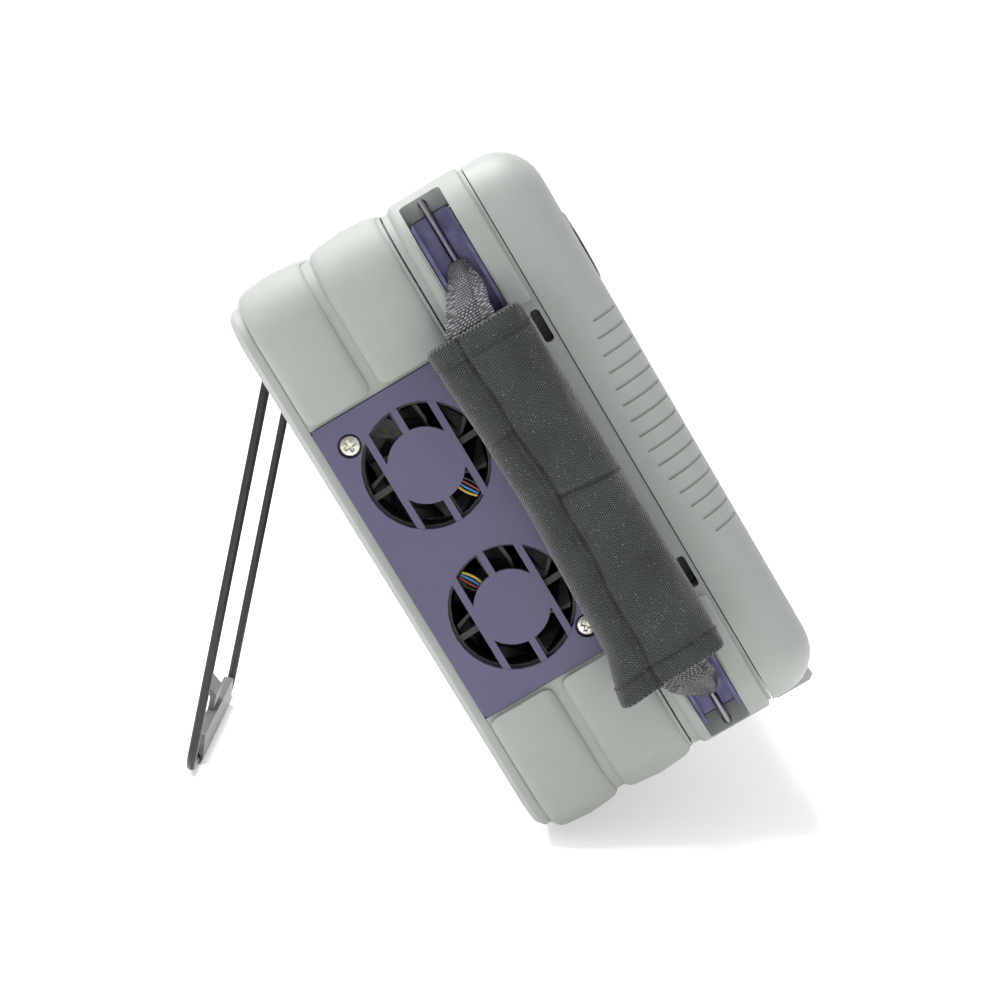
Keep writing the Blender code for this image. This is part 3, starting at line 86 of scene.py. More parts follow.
# %% [markdown]
# Every new piece is a grid of points turned into a mesh. Rows run along the piece and columns
# run round it, so a tube, a sleeve and a screw head all come from one function. Working on
# whole arrays keeps the maths readable: one formula makes every point at once.

# %% Turn a grid of points into a piece
SMOOTHNESS = math.radians(60)


def cell_corners(rows, columns, ring, loop):
    """Row and column of each cell's four corners; a ring joins its columns, a loop its rows."""
    row = np.arange(rows if loop else rows - 1)
    column = np.arange(columns if ring else columns - 1)
    row, column = np.meshgrid(row, column, indexing="ij")
    corner_rows = np.stack([row, row, row + 1, row + 1], -1).reshape(-1, 4)
    corner_columns = np.stack([column, column + 1, column + 1, column], -1).reshape(-1, 4)
    return corner_rows, corner_columns


def piece_from(name, grids, finish, body, loop=False, cloth_map=None, tint_and_shade=None):
    """One mesh from one or more (rows, columns, 3) grids, riding on a body.

    A looped grid closes on itself; any other gets a cap at its first and its last row.
    """
    points, faces, maps, tints = [], [], [], []
    start = 0
    for index, grid in enumerate(grids):
        rows, columns = grid.shape[:2]
        corner_rows, corner_columns = cell_corners(rows, columns, True, loop)
        quads = start + (corner_rows % rows) * columns + corner_columns % columns
        faces += quads.tolist()
        if cloth_map is not None:
            maps.append(cloth_map[corner_rows, corner_columns].reshape(-1, 2))
        if not loop:
            last = start + (rows - 1) * columns
            faces += [list(range(first, first + columns)) for first in (start, last)]
        points.append(grid.reshape(-1, 3))
        if tint_and_shade is not None:
            own = np.broadcast_to(tint_and_shade[index], (rows * columns, 3))
            tints.append(np.hstack([own, np.ones((rows * columns, 1))]))
        start += rows * columns
    mesh = bpy.data.meshes.new(name)
    mesh.from_pydata(np.concatenate(points).tolist(), [], faces)
    if maps:
        layer = mesh.uv_layers.new(name="cloth")
        flat = np.zeros((len(mesh.loops), 2), np.float32)
        flat[: sum(map(len, maps))] = np.concatenate(maps)
        layer.data.foreach_set("uv", flat.ravel())
    if tints:
        colours = mesh.attributes.new("tint_and_shade", "FLOAT_COLOR", "POINT")
        colours.data.foreach_set("color", np.concatenate(tints).astype(np.float32).ravel())
    mesh.polygons.foreach_set("use_smooth", np.ones(len(mesh.polygons), bool))
    mesh.set_sharp_from_angle(angle=SMOOTHNESS)
    piece = bpy.data.objects.new(name, mesh)
    bpy.context.scene.collection.objects.link(piece)
    face_outwards(piece)
    piece.data.materials.append(finish)
    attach(piece, body)
    print(f"{name}: {len(mesh.vertices)} points, {len(mesh.polygons)} faces")
    return piece


def face_outwards(piece):
    """Recalculates the normals of a closed mesh, so that its faces point out."""
    work = bmesh.new()
    work.from_mesh(piece.data)
    bmesh.ops.recalc_face_normals(work, faces=work.faces)
    work.to_mesh(piece.data)
    work.free()


def tube(route, radius, sides=16, square_to=ACROSS):
    """Rings round a route: centre + radius (cos a * first + sin a * second), square to the path."""
    tangent = np.gradient(route, axis=0)
    tangent /= np.linalg.norm(tangent, axis=1, keepdims=True)
    first = np.cross(tangent, square_to)
    first /= np.linalg.norm(first, axis=1, keepdims=True)
    second = np.cross(tangent, first)
    angle = np.linspace(0, 2 * np.pi, sides, endpoint=False)[None, :, None]
    ring = np.cos(angle) * first[:, None] + np.sin(angle) * second[:, None]
    return route[:, None] + np.broadcast_to(radius, len(route))[:, None, None] * ring


def ease(x):
    """A smooth step from 0 to 1: 3x^2 - 2x^3 between 0 and 1."""
    x = np.clip(x, 0, 1)
    return x * x * (3 - 2 * x)


# %% [markdown]
# A finish is a Principled shader fed by noise. Real mouldings are never one flat colour: the
# colour drifts a little, the gloss varies, and a fine grain breaks up the highlight. One
# function builds that pattern, and each finish only names its own colours and scales.

# %% Helpers for node finishes
def new_finish(name):
    """An empty node material, with its nodes and links."""
    finish = bpy.data.materials.new(name)
    finish.use_nodes = True
    return finish, finish.node_tree.nodes, finish.node_tree.links


def noise(nodes, links, source, scale, detail=3.0, rough=0.5):
    """The grey value of a noise texture, read at the source's coordinates."""
    made = nodes.new("ShaderNodeTexNoise")
    made.inputs["Scale"].default_value = scale
    made.inputs["Detail"].default_value = detail
    made.inputs["Roughness"].default_value = rough
    links.new(source, made.inputs["Vector"])
    return made.outputs["Fac"]


def ramp(nodes, links, value, stops):
    """A colour ramp through (position, colour) stops."""
    made = nodes.new("ShaderNodeValToRGB")
    bar = made.color_ramp
    while len(bar.elements) < len(stops):
        bar.elements.new(0.5)
    for element, (place, colour) in zip(bar.elements, stops):
        element.position = place
        element.color = (*colour, 1)
    links.new(value, made.inputs["Fac"])
    return made.outputs["Color"]


def mix(nodes, links, factor, first, second, blend="MIX"):
    """Mixes two colours; each of the three may be a socket or a plain value."""
    made = nodes.new("ShaderNodeMix")
    made.data_type = "RGBA"
    made.blend_type = blend
    for index, value in ((0, factor), (6, first), (7, second)):
        if isinstance(value, bpy.types.NodeSocket):
            links.new(value, made.inputs[index])
        else:
            made.inputs[index].default_value = value if index == 0 else (*value, 1)
    return made.outputs[2]


def math_node(nodes, links, operation, first, second=None):
    """One step of arithmetic; each value may be a socket or a plain number."""
    made = nodes.new("ShaderNodeMath")
    made.operation = operation
    for socket, value in zip(made.inputs, (first, second)):
        if isinstance(value, bpy.types.NodeSocket):
            links.new(value, socket)
        elif value is not None:
            socket.default_value = value
    return made.outputs[0]


def bump(nodes, links, height, strength, distance):
    """A normal tilted by a height pattern."""
    made = nodes.new("ShaderNodeBump")
    made.inputs["Strength"].default_value = strength
    made.inputs["Distance"].default_value = distance
    links.new(height, made.inputs["Height"])
    return made.outputs["Normal"]


def moulded(
    name, dark, light, rough, grain=2600.0, depth=0.12, metallic=0.0, coat=0.0, scuffs=0.0, specular=0.5
):
    """A moulded or painted skin: drifting colour, uneven gloss, fine grain and pale scuffs."""
    finish, nodes, links = new_finish(name)
    shader = nodes["Principled BSDF"]
    place = nodes.new("ShaderNodeTexCoord").outputs["Object"]
    drift = noise(nodes, links, place, 22.0, 4.0)
    mottle = noise(nodes, links, place, 190.0, 5.0, 0.6)
    both = math_node(nodes, links, "ADD", math_node(nodes, links, "MULTIPLY", mottle, 0.45), drift)
    colour = ramp(nodes, links, both, [(0.45, dark), (1.0, light)])
    if scuffs:
        rub = noise(nodes, links, place, 70.0, 8.0, 0.75)
        worn = ramp(nodes, links, rub, [(0.62, (0, 0, 0)), (0.74, (scuffs,) * 3)])
        colour = mix(nodes, links, worn, colour, tuple(min(1, c * 1.5 + 0.03) for c in light))
    links.new(colour, shader.inputs["Base Color"])
    gloss = nodes.new("ShaderNodeMapRange")
    gloss.inputs["To Min"].default_value = rough - 0.07
    gloss.inputs["To Max"].default_value = rough + 0.09
    links.new(mottle, gloss.inputs["Value"])
    links.new(gloss.outputs[0], shader.inputs["Roughness"])
    fine = noise(nodes, links, place, grain, 2.0)
    links.new(bump(nodes, links, fine, depth, 0.0002), shader.inputs["Normal"])
    shader.inputs["Metallic"].default_value = metallic
    shader.inputs["Coat Weight"].default_value = coat
    shader.inputs["Specular IOR Level"].default_value = specular
    return finish


# %% [markdown]
# The case has two close greys. The bumpers and the middle frame are a soft, satin rubber, and the
# front shell is a slightly lighter, smoother plastic. The side panel is painted metal, with a
# satin indigo that is nearly grey where it catches the light.

# %% Finishes of the case
bumper_rubber = moulded(
    "bumper_rubber", (0.262, 0.284, 0.268), (0.300, 0.322, 0.306), 0.56, 3000.0, 0.10,
    scuffs=0.14, specular=0.35,
)
shell_plastic = moulded(
    "shell_plastic", (0.272, 0.298, 0.280), (0.310, 0.337, 0.320), 0.48, 2400.0, 0.08,
    scuffs=0.10, specular=0.4,
)
indigo_paint = moulded(
    "indigo_paint", (0.060, 0.058, 0.115), (0.076, 0.074, 0.138), 0.45, 3600.0, 0.16,
    scuffs=0.08,
)
# The recess paint's wide dark-to-light drift is random tone and also painted light: its light end is a
# painted highlight for the sheen on the recess floor, its dark end painted shade.
channel_paint = moulded(
    "channel_paint", (0.022, 0.020, 0.055), (0.200, 0.195, 0.340), 0.28, 900.0, 0.10,
    metallic=0.8, scuffs=0.6,
)
fan_black = moulded("fan_black", (0.006, 0.006, 0.007), (0.016, 0.016, 0.018), 0.42, 1800.0, 0.10)
knob_black = moulded("knob_black", (0.014, 0.014, 0.016), (0.028, 0.028, 0.031), 0.48, 1500.0, 0.2)
key_rubber = moulded("key_rubber", (0.110, 0.116, 0.126), (0.150, 0.158, 0.170), 0.62, 3200.0, 0.12)
foot_grey = moulded(
    "foot_grey", (0.270, 0.272, 0.285), (0.345, 0.348, 0.362), 0.5, 2200.0, 0.16, scuffs=0.3,
)
bail_foot_grey = moulded(
    "bail_foot_grey", (0.060, 0.060, 0.066), (0.150, 0.150, 0.158), 0.45, 1500.0, 0.2,
    scuffs=0.5,
)
battery_wrap = moulded("battery_wrap", (0.02, 0.022, 0.03), (0.04, 0.044, 0.055), 0.35)
print("case finishes ready")

# %% [markdown]
# Bare metal needs direction: brushed steel has fine streaks along one axis, made by squeezing a
# noise in that direction. The screws and rods also carry small dull spots.

# %% Metal finishes
def brushed(name, dark, light, rough, stretch, anisotropic=0.4):
    """Metal with streaks: noise read through a Mapping that is long in one direction."""
    finish, nodes, links = new_finish(name)
    shader = nodes["Principled BSDF"]
    place = nodes.new("ShaderNodeTexCoord").outputs["Object"]
    squeeze = nodes.new("ShaderNodeMapping")
    squeeze.inputs["Scale"].default_value = stretch
    links.new(place, squeeze.inputs["Vector"])
    streak = noise(nodes, links, squeeze.outputs[0], 500.0, 6.0, 0.6)
    spots = noise(nodes, links, place, 900.0, 4.0, 0.7)
    tarnish = ramp(nodes, links, spots, [(0.55, (0, 0, 0)), (0.75, (0.6, 0.6, 0.6))])
    colour = ramp(nodes, links, streak, [(0.3, dark), (0.7, light)])
    links.new(mix(nodes, links, tarnish, colour, dark), shader.inputs["Base Color"])
    gloss = nodes.new("ShaderNodeMapRange")
    gloss.inputs["To Min"].default_value = rough - 0.08
    gloss.inputs["To Max"].default_value = rough + 0.14
    links.new(spots, gloss.inputs["Value"])
    links.new(gloss.outputs[0], shader.inputs["Roughness"])
    links.new(bump(nodes, links, streak, 0.08, 0.0001), shader.inputs["Normal"])
    shader.inputs["Metallic"].default_value = 1.0
    shader.inputs["Anisotropic"].default_value = anisotropic
    return finish


screw_steel = brushed("screw_steel", (0.36, 0.34, 0.30), (0.66, 0.64, 0.58), 0.28, (1, 1, 1), 0.0)
rod_steel = brushed("rod_steel", (0.16, 0.155, 0.18), (0.30, 0.29, 0.33), 0.36, (1, 0.2, 0.2))
can_metal = brushed("can_metal", (0.5, 0.51, 0.52), (0.66, 0.67, 0.68), 0.35, (0.1, 1, 1))
nickel = brushed("nickel", (0.50, 0.48, 0.43), (0.70, 0.68, 0.62), 0.25, (1, 1, 0.3))

bail_coat = moulded(
    "bail_coat", (0.004, 0.0045, 0.0045), (0.010, 0.011, 0.011), 0.34, 1400.0, 0.12, coat=0.10,
    specular=0.4,
)

# %% [markdown]
# The display is off, so what shows is a sheet of dark glass with faint smears. The boards
# inside are only seen through gaps, but they still get a green mask with lighter tracks.

# %% Display glass and circuit board
def dark_glass():
    """Nearly black and glossy, with smears that dull it in places."""
    finish, nodes, links = new_finish("dark_glass")
    shader = nodes["Principled BSDF"]
    place = nodes.new("ShaderNodeTexCoord").outputs["Object"]
    smear = noise(nodes, links, place, 35.0, 6.0, 0.65)
    colour = ramp(nodes, links, smear, [(0.3, (0.006, 0.008, 0.010)), (0.8, (0.014, 0.017, 0.020))])
    links.new(colour, shader.inputs["Base Color"])
    gloss = nodes.new("ShaderNodeMapRange")
    gloss.inputs["To Min"].default_value = 0.04
    gloss.inputs["To Max"].default_value = 0.14
    links.new(smear, gloss.inputs["Value"])
    links.new(gloss.outputs[0], shader.inputs["Roughness"])
    shader.inputs["Coat Weight"].default_value = 0.5
    return finish


def circuit_board():
    """A green mask with lighter tracks, from a brick pattern's joints."""
    finish, nodes, links = new_finish("circuit_board")
    shader = nodes["Principled BSDF"]
    place = nodes.new("ShaderNodeTexCoord").outputs["Object"]
    tracks = nodes.new("ShaderNodeTexBrick")
    tracks.inputs["Scale"].default_value = 120.0
    tracks.inputs["Color1"].default_value = (0.012, 0.075, 0.035, 1)
    tracks.inputs["Color2"].default_value = (0.016, 0.095, 0.045, 1)
    tracks.inputs["Mortar"].default_value = (0.05, 0.19, 0.09, 1)
    links.new(place, tracks.inputs["Vector"])
    links.new(tracks.outputs["Color"], shader.inputs["Base Color"])
    shader.inputs["Roughness"].default_value = 0.42
    return finish


glass = dark_glass()
board = circuit_board()

# %% [markdown]
# Woven nylon is drawn in the cloth's own map, measured in metres along and round the sleeve, so
# the weave follows it. Two waves crossed at right angles, with every other row
# shifted, give the small raised ticks of a heavy plain weave, and their height also paints light
# into the colour: a painted grey highlight on the tops, painted shade in the almost black gaps.

# %% Woven and knitted finishes
def woven(name, gap_shade, thread, tip_highlight, pitch, depth, lint, turn, sheen=0.35):
    """Crossed waves in the cloth map: height = |sin x| * |sin y|, each row half a tick on.

    Lint is rare bright specks, and a per-point attribute paints shade into the seams, hems and creases,
    darkest where they are pressed deepest.
    """
    finish, nodes, links = new_finish(name)
    shader = nodes["Principled BSDF"]
    chart = nodes.new("ShaderNodeUVMap")
    chart.uv_map = "cloth"
    place = nodes.new("ShaderNodeTexCoord").outputs["Object"]
    wobble = nodes.new("ShaderNodeTexNoise")
    wobble.inputs["Scale"].default_value = 160.0
    links.new(place, wobble.inputs["Vector"])
    shift = nodes.new("ShaderNodeVectorMath")
    shift.operation = "MULTIPLY_ADD"
    shift.inputs[1].default_value = (0.00045,) * 3
    links.new(wobble.outputs["Color"], shift.inputs[0])
    links.new(chart.outputs[0], shift.inputs[2])
    turned = nodes.new("ShaderNodeMapping")
    turned.inputs["Rotation"].default_value = (0, 0, turn)
    turned.inputs["Scale"].default_value = (math.pi / pitch, math.pi / pitch, 1)
    links.new(shift.outputs[0], turned.inputs["Vector"])
    split = nodes.new("ShaderNodeSeparateXYZ")
    links.new(turned.outputs[0], split.inputs[0])
    row = math_node(nodes, links, "DIVIDE", split.outputs[1], math.pi)
    offset = math_node(nodes, links, "MULTIPLY", math_node(nodes, links, "FLOOR", row), math.pi / 2)
    shifted = math_node(nodes, links, "ADD", split.outputs[0], offset)
    across = math_node(nodes, links, "ABSOLUTE", math_node(nodes, links, "SINE", shifted))
    along = math_node(nodes, links, "ABSOLUTE", math_node(nodes, links, "SINE", split.outputs[1]))
    tick = math_node(nodes, links, "MULTIPLY", across, along)
    fuzz = noise(nodes, links, place, 2600.0, 3.0, 0.7)
    uneven = noise(nodes, links, place, 55.0, 5.0, 0.6)
    height = math_node(nodes, links, "ADD", tick, math_node(nodes, links, "MULTIPLY", fuzz, 0.55))
    # painted light: the weave's height puts painted shade in the gaps and a painted highlight on the tops
    colour = ramp(nodes, links, height, [(0.25, gap_shade), (0.72, thread), (1.0, tip_highlight)])
    shade = ramp(nodes, links, uneven, [(0.3, (0.72, 0.72, 0.74)), (0.7, (1.18, 1.18, 1.16))])
    colour = mix(nodes, links, 1.0, colour, shade, "MULTIPLY")
    fleck = nodes.new("ShaderNodeTexVoronoi")
    fleck.inputs["Scale"].default_value = 1100.0
    links.new(place, fleck.inputs["Vector"])
    rare = noise(nodes, links, place, 330.0, 2.0)
    near = ramp(nodes, links, fleck.outputs["Distance"], [(0.10, (1, 1, 1)), (0.20, (0, 0, 0))])
    here = ramp(nodes, links, rare, [(0.50, (0, 0, 0)), (0.58, (lint,) * 3)])
    speck = mix(nodes, links, 1.0, near, here, "MULTIPLY")
    colour = mix(nodes, links, speck, colour, (0.34, 0.35, 0.36))
    # painted shade: darker in the seams, hems and creases, by how deep they are pressed
    crease_shade = nodes.new("ShaderNodeAttribute")
    crease_shade.attribute_name = "crease_shade"
    colour = mix(nodes, links, crease_shade.outputs["Fac"], colour, gap_shade)
    links.new(colour, shader.inputs["Base Color"])
    links.new(bump(nodes, links, height, 0.9, depth), shader.inputs["Normal"])
    shader.inputs["Roughness"].default_value = 0.88
    shader.inputs["Sheen Weight"].default_value = sheen
    shader.inputs["Sheen Roughness"].default_value = 0.45
    shader.inputs["Specular IOR Level"].default_value = 0.25
    return finish


# the first and last colours are painted shade for the gaps and a painted highlight for the tops
sleeve_weave = woven(
    "sleeve_weave", (0.005, 0.006, 0.007), (0.029, 0.033, 0.035), (0.070, 0.077, 0.080), 0.00070,
    0.0002, 0.6, turn=0.5,
)


def knitted():
    """The webbing's own loop height, kept on its points, paints light: painted shade in the black gaps, a
    painted highlight on the grey tops.
    """
    finish, nodes, links = new_finish("webbing_knit")
    shader = nodes["Principled BSDF"]
    own = nodes.new("ShaderNodeAttribute")
    own.attribute_name = "tint_and_shade"
    place = nodes.new("ShaderNodeTexCoord").outputs["Object"]
    strands = noise(nodes, links, place, 2300.0, 3.0, 0.7)
    patch = noise(nodes, links, place, 260.0, 3.0)
    frayed = math_node(nodes, links, "ADD", strands, 0.45)
    patchy = math_node(nodes, links, "ADD", patch, 0.5)
    height = math_node(nodes, links, "MULTIPLY", own.outputs["Fac"], frayed)
    height = math_node(nodes, links, "MULTIPLY", height, patchy)
    # painted light: near-black painted shade in the gaps, a grey painted highlight on the loop tops
    gap_shade, yarn, top = (0.002, 0.002, 0.003), (0.024, 0.026, 0.031), (0.17, 0.18, 0.20)
    stops = [(0.20, gap_shade), (0.55, yarn), (0.95, top)]
    links.new(ramp(nodes, links, height, stops), shader.inputs["Base Color"])
    links.new(bump(nodes, links, strands, 0.6, 0.0001), shader.inputs["Normal"])
    shader.inputs["Roughness"].default_value = 0.75
    shader.inputs["Sheen Weight"].default_value = 0.2
    return finish


webbing_knit = knitted()
seam_thread = moulded("seam_thread", (0.018, 0.019, 0.021), (0.040, 0.042, 0.045), 0.8, 4000.0, 0.5)


def tinted():
    """Wire insulation that takes its colour from each point's own tint."""
    finish, nodes, links = new_finish("wire_insulation")
    shader = nodes["Principled BSDF"]
    own = nodes.new("ShaderNodeAttribute")
    own.attribute_name = "tint_and_shade"
    place = nodes.new("ShaderNodeTexCoord").outputs["Object"]
    dust = noise(nodes, links, place, 700.0, 3.0)
    share = math_node(nodes, links, "MULTIPLY", dust, 0.35)
    colour = mix(nodes, links, share, own.outputs["Color"], (0.05, 0.045, 0.04))
    links.new(colour, shader.inputs["Base Color"])
    shader.inputs["Roughness"].default_value = 0.35
    return finish


wire_insulation = tinted()
print("cloth and wire finishes ready")

# %% [markdown]
# Each solid piece now takes its finish. The table goes from finish to pieces, so it is easy to
# see what is made of what.

# %% Give the solid pieces their finishes
CORNERS = [f"corner_bumper_{end}_{side}" for end in ("top", "bottom") for side in ("left", "right")]
FINISHES = {
    bumper_rubber: CORNERS + ["mid_frame", "socket_door"],
    shell_plastic: ["front_bezel", "back_cover", "rear_case", "battery_door"],
    indigo_paint: ["fan_panel", "vent_panel", "rf_panel"],
    channel_paint: ["strap_channel", "socket_channel"],
    fan_black: ["fan_frame_upper", "fan_frame_lower", "fan_rotor_upper", "fan_rotor_lower", "power_jack"],
    knob_black: ["tuning_knob"],
    key_rubber: [name for name in NODES if "_key" in name],
    foot_grey: ["front_foot_left", "front_foot_right", "rear_foot_left", "rear_foot_right"],
    bail_foot_grey: ["bail_foot"],
    battery_wrap: ["battery_pack"],
    rod_steel: ["strap_rod_upper", "strap_rod_lower"],
    screw_steel: ["panel_screw_upper", "panel_screw_lower", "network_jack", "usb_jack"],
    can_metal: ["rf_module", "lcd_module"],
    nickel: ["rf_input", "rf_output", "sma_connector"],
    bail_coat: ["bail_wire"],
    glass: ["display_glass"],
    board: ["main_board", "front_board"],
    sleeve_weave: ["strap_sleeve"],
    webbing_knit: ["strap_webbing_upper", "strap_webbing_lower"],
    wire_insulation: ["fan_lead_upper", "fan_lead_lower"],
}
for finish, names in FINISHES.items():
    for name in names:
        NODES[name].data.materials.clear()
        NODES[name].data.materials.append(finish)
bare = set(NODES) - {name for names in FINISHES.values() for name in names}
print("pieces without a finish:", sorted(bare) or "none")

# %% [markdown]
# The solid pieces are faceted, with every triangle loose. On the rounded ones a merged copy takes
# over. Its normals are averaged where faces meet at a shallow angle, and large faces weigh
# most, so the flats stay flat while the rounded corners turn smoothly.

# %% Smooth copies of the rounded pieces
CREASE = math.radians(38)


def smooth_copy(name, body):
    """A copy of a solid piece with its doubles merged and its normals averaged by face area."""
    mesh = NODES[name].data.copy()
    work = bmesh.new()
    work.from_mesh(mesh)
    bmesh.ops.remove_doubles(work, verts=work.verts, dist=0.002 * MM)
    work.to_mesh(mesh)
    work.free()
    for layer in ("custom_normal", "sharp_face", "sharp_edge"):
        if layer in mesh.attributes:
            mesh.attributes.remove(mesh.attributes[layer])
    mesh.polygons.foreach_set("use_smooth", np.ones(len(mesh.polygons), bool))
    mesh.set_sharp_from_angle(angle=CREASE)
    piece = bpy.data.objects.new(f"{name}_skin", mesh)
    bpy.context.scene.collection.objects.link(piece)
    weighted = piece.modifiers.new("weighted", "WEIGHTED_NORMAL")
    weighted.keep_sharp = True
    weighted.weight = 80
    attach(piece, body)
    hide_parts(name)
    return piece


SMOOTHED = [
    ("case", "grey_plastic", ["rear_case", "back_cover", "battery_door", "front_bezel"]),
    ("case", "grey_rubber", ["mid_frame"] + CORNERS),
    ("case", "bright_steel", ["strap_rod_upper", "strap_rod_lower"]),
    ("case", "foot_plastic", ["front_foot_left", "front_foot_right"]),
    ("case", "nickel", ["rf_input", "rf_output", "sma_connector"]),
    ("bail", "foot_plastic", ["bail_foot"]),
    ("tuning_knob", "black_plastic", ["tuning_knob"]),
]
for body, slot, names in SMOOTHED:
    for name in names:
        smooth_copy(name, body)
print(sum(len(names) for _, _, names in SMOOTHED), "rounded pieces smoothed")

# %% [markdown]
# The sleeve is a padded tube of woven nylon that closes round the strap. Its section is a
# flattened oval: the half widths times a power of cosine and sine, which keeps the faces flat
# and the edges round. The surface goes out along the sleeve, turns over the lip and comes back
# inside it, so it is one closed skin. It starts a little slim, because pressure will fill it.

# %% Shape the sleeve's skin
SIDE = 142.5 * MM  # from the middle of the case to its side face
SLEEVE_MID = np.array([-(SIDE + 14 * MM), 64 * MM, 92.5 * MM])
SLEEVE_LENGTH = 120 * MM
SLEEVE_WIDTHS = np.array([33, 33, 32, 31.5, 31.5]) * MM  # from the lower end up
SLEEVE_THICKNESS = 12 * MM
ROUND = 128
LENGTH_STEPS = 184
LIP_STEPS = 7


def flattened(angle, half_width, half_thickness, power=0.74):
    """A flattened oval: half width * |cos|^power across, half thickness * |sin|^power out."""
    c, s = np.cos(angle), np.sin(angle)
    across = half_width * np.sign(c) * np.abs(c) ** power
    out = half_thickness * np.sign(s) * np.abs(s) ** power
    return across, out


def even_angles(half_width, half_thickness, count):
    """Angles that space points evenly: the oval's running length, read the other way round."""
    dense = np.linspace(0, 2 * np.pi, 8001)
    across, out = flattened(dense, half_width, half_thickness)
    run = np.concatenate([[0], np.cumsum(np.hypot(np.diff(across), np.diff(out)))])
    return np.interp(np.linspace(0, run[-1], count, endpoint=False), run, dense), run[-1]


def sleeve_grid(angle):
    """Rows: up the outside, over the lip, and down inside the bore. Columns: round the section."""
    t = np.linspace(0, 1, LENGTH_STEPS)
    lip = np.linspace(0, np.pi, LIP_STEPS + 2)[1:-1]
    inside = np.linspace(1, 0, LENGTH_STEPS // 4)
    share = np.concatenate([t, np.ones(LIP_STEPS), inside, np.zeros(LIP_STEPS)])
    overhang = np.concatenate([0 * t, np.sin(lip), 0 * inside, -np.sin(lip)]) * 0.9 * MM
    wall = np.concatenate([0 * t, (1 - np.cos(lip)) / 2, 0 * inside + 1, (1 + np.cos(lip)) / 2])
    width = np.interp(share, np.linspace(0, 1, len(SLEEVE_WIDTHS)), SLEEVE_WIDTHS) / 2
    thick = np.full(len(share), SLEEVE_THICKNESS / 2 - 0.7 * MM)
    section = np.stack(flattened(angle, 1.0, 1.0))
    inward = (1.6 * MM * wall)[:, None]
    across = section[0][None] * (width[:, None] - inward)
    out = section[1][None] * (thick[:, None] - inward)
    height = (share - 0.5) * (SLEEVE_LENGTH - 1.8 * MM) + overhang
    grid = np.stack(np.broadcast_arrays(-out, across, height[:, None]), -1)
    flare = ease((0.14 - share) / 0.14)[:, None] * ease(-np.cos(angle) / 0.9)[None]
    grid[..., 1] -= 3.4 * MM * flare
    grid[..., 2] -= 1.6 * MM * flare
    sway = np.interp(share, (0, 0.25, 0.55, 0.85, 1), (-0.6, 0.1, 0.6, -0.2, -0.8)) * MM
    grid[..., 1] += sway[:, None]
    outside = (wall < 0.4)[:, None]
    along = grid[..., 2] / MM
    crumple = np.sin(along / 7.3 + 1.7 * np.sin(angle)[None]) * np.sin(2 * angle + along / 15)
    grid[..., 0] -= outside * 0.30 * MM * crumple
    return grid, share, wall


sleeve_angle, outline_length = even_angles(SLEEVE_WIDTHS.mean() / 2, SLEEVE_THICKNESS / 2, ROUND)
sleeve_points, sleeve_share, sleeve_wall = sleeve_grid(sleeve_angle)
sleeve_run = np.arange(ROUND) / ROUND * outline_length
round_map = np.linspace(0, outline_length, ROUND + 1)
long_map = np.concatenate([sleeve_share, sleeve_share[:1]]) * SLEEVE_LENGTH
sleeve_map = np.stack(np.broadcast_arrays(round_map[None], long_map[:, None]), -1)
sleeve = piece_from(
    "sleeve_cover",
    [case_place(sleeve_points + SLEEVE_MID)],
    sleeve_weave,
    "case",
    loop=True,
    cloth_map=sleeve_map,
)
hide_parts("strap_sleeve")

# %% [markdown]
# Padding shows in how the cloth swells between the places that hold it. Blender's Cloth does that
# with a little pressure: the bore and the long seam are pinned, the rest fills. The
# movement is capped, so the sleeve stays the size it was cut to.

# %% Fill the sleeve with a short cloth simulation
SWELL_CAP = 1.5 * MM
HELD_BESIDE_SEAM = 1.6 * MM
SEAM_RUN = 0.5 * outline_length * 0.64  # from the front edge across the outer face


def seam_wander(share):
    """Metres that the long seam strays, a slow wave plus a short one."""
    return (0.55 * np.sin(share * 9.0) + 0.3 * np.sin(share * 27.0 + 1.0)) * MM


def seam_distance(share, run):
    """Metres round the sleeve from the long seam."""
    return run[None] - SEAM_RUN - seam_wander(share)[:, None]


def valley(distance, width):
    """A bell curve: 1 on the line, near 0 beyond twice the width."""
    return np.exp(-((distance / width) ** 2))


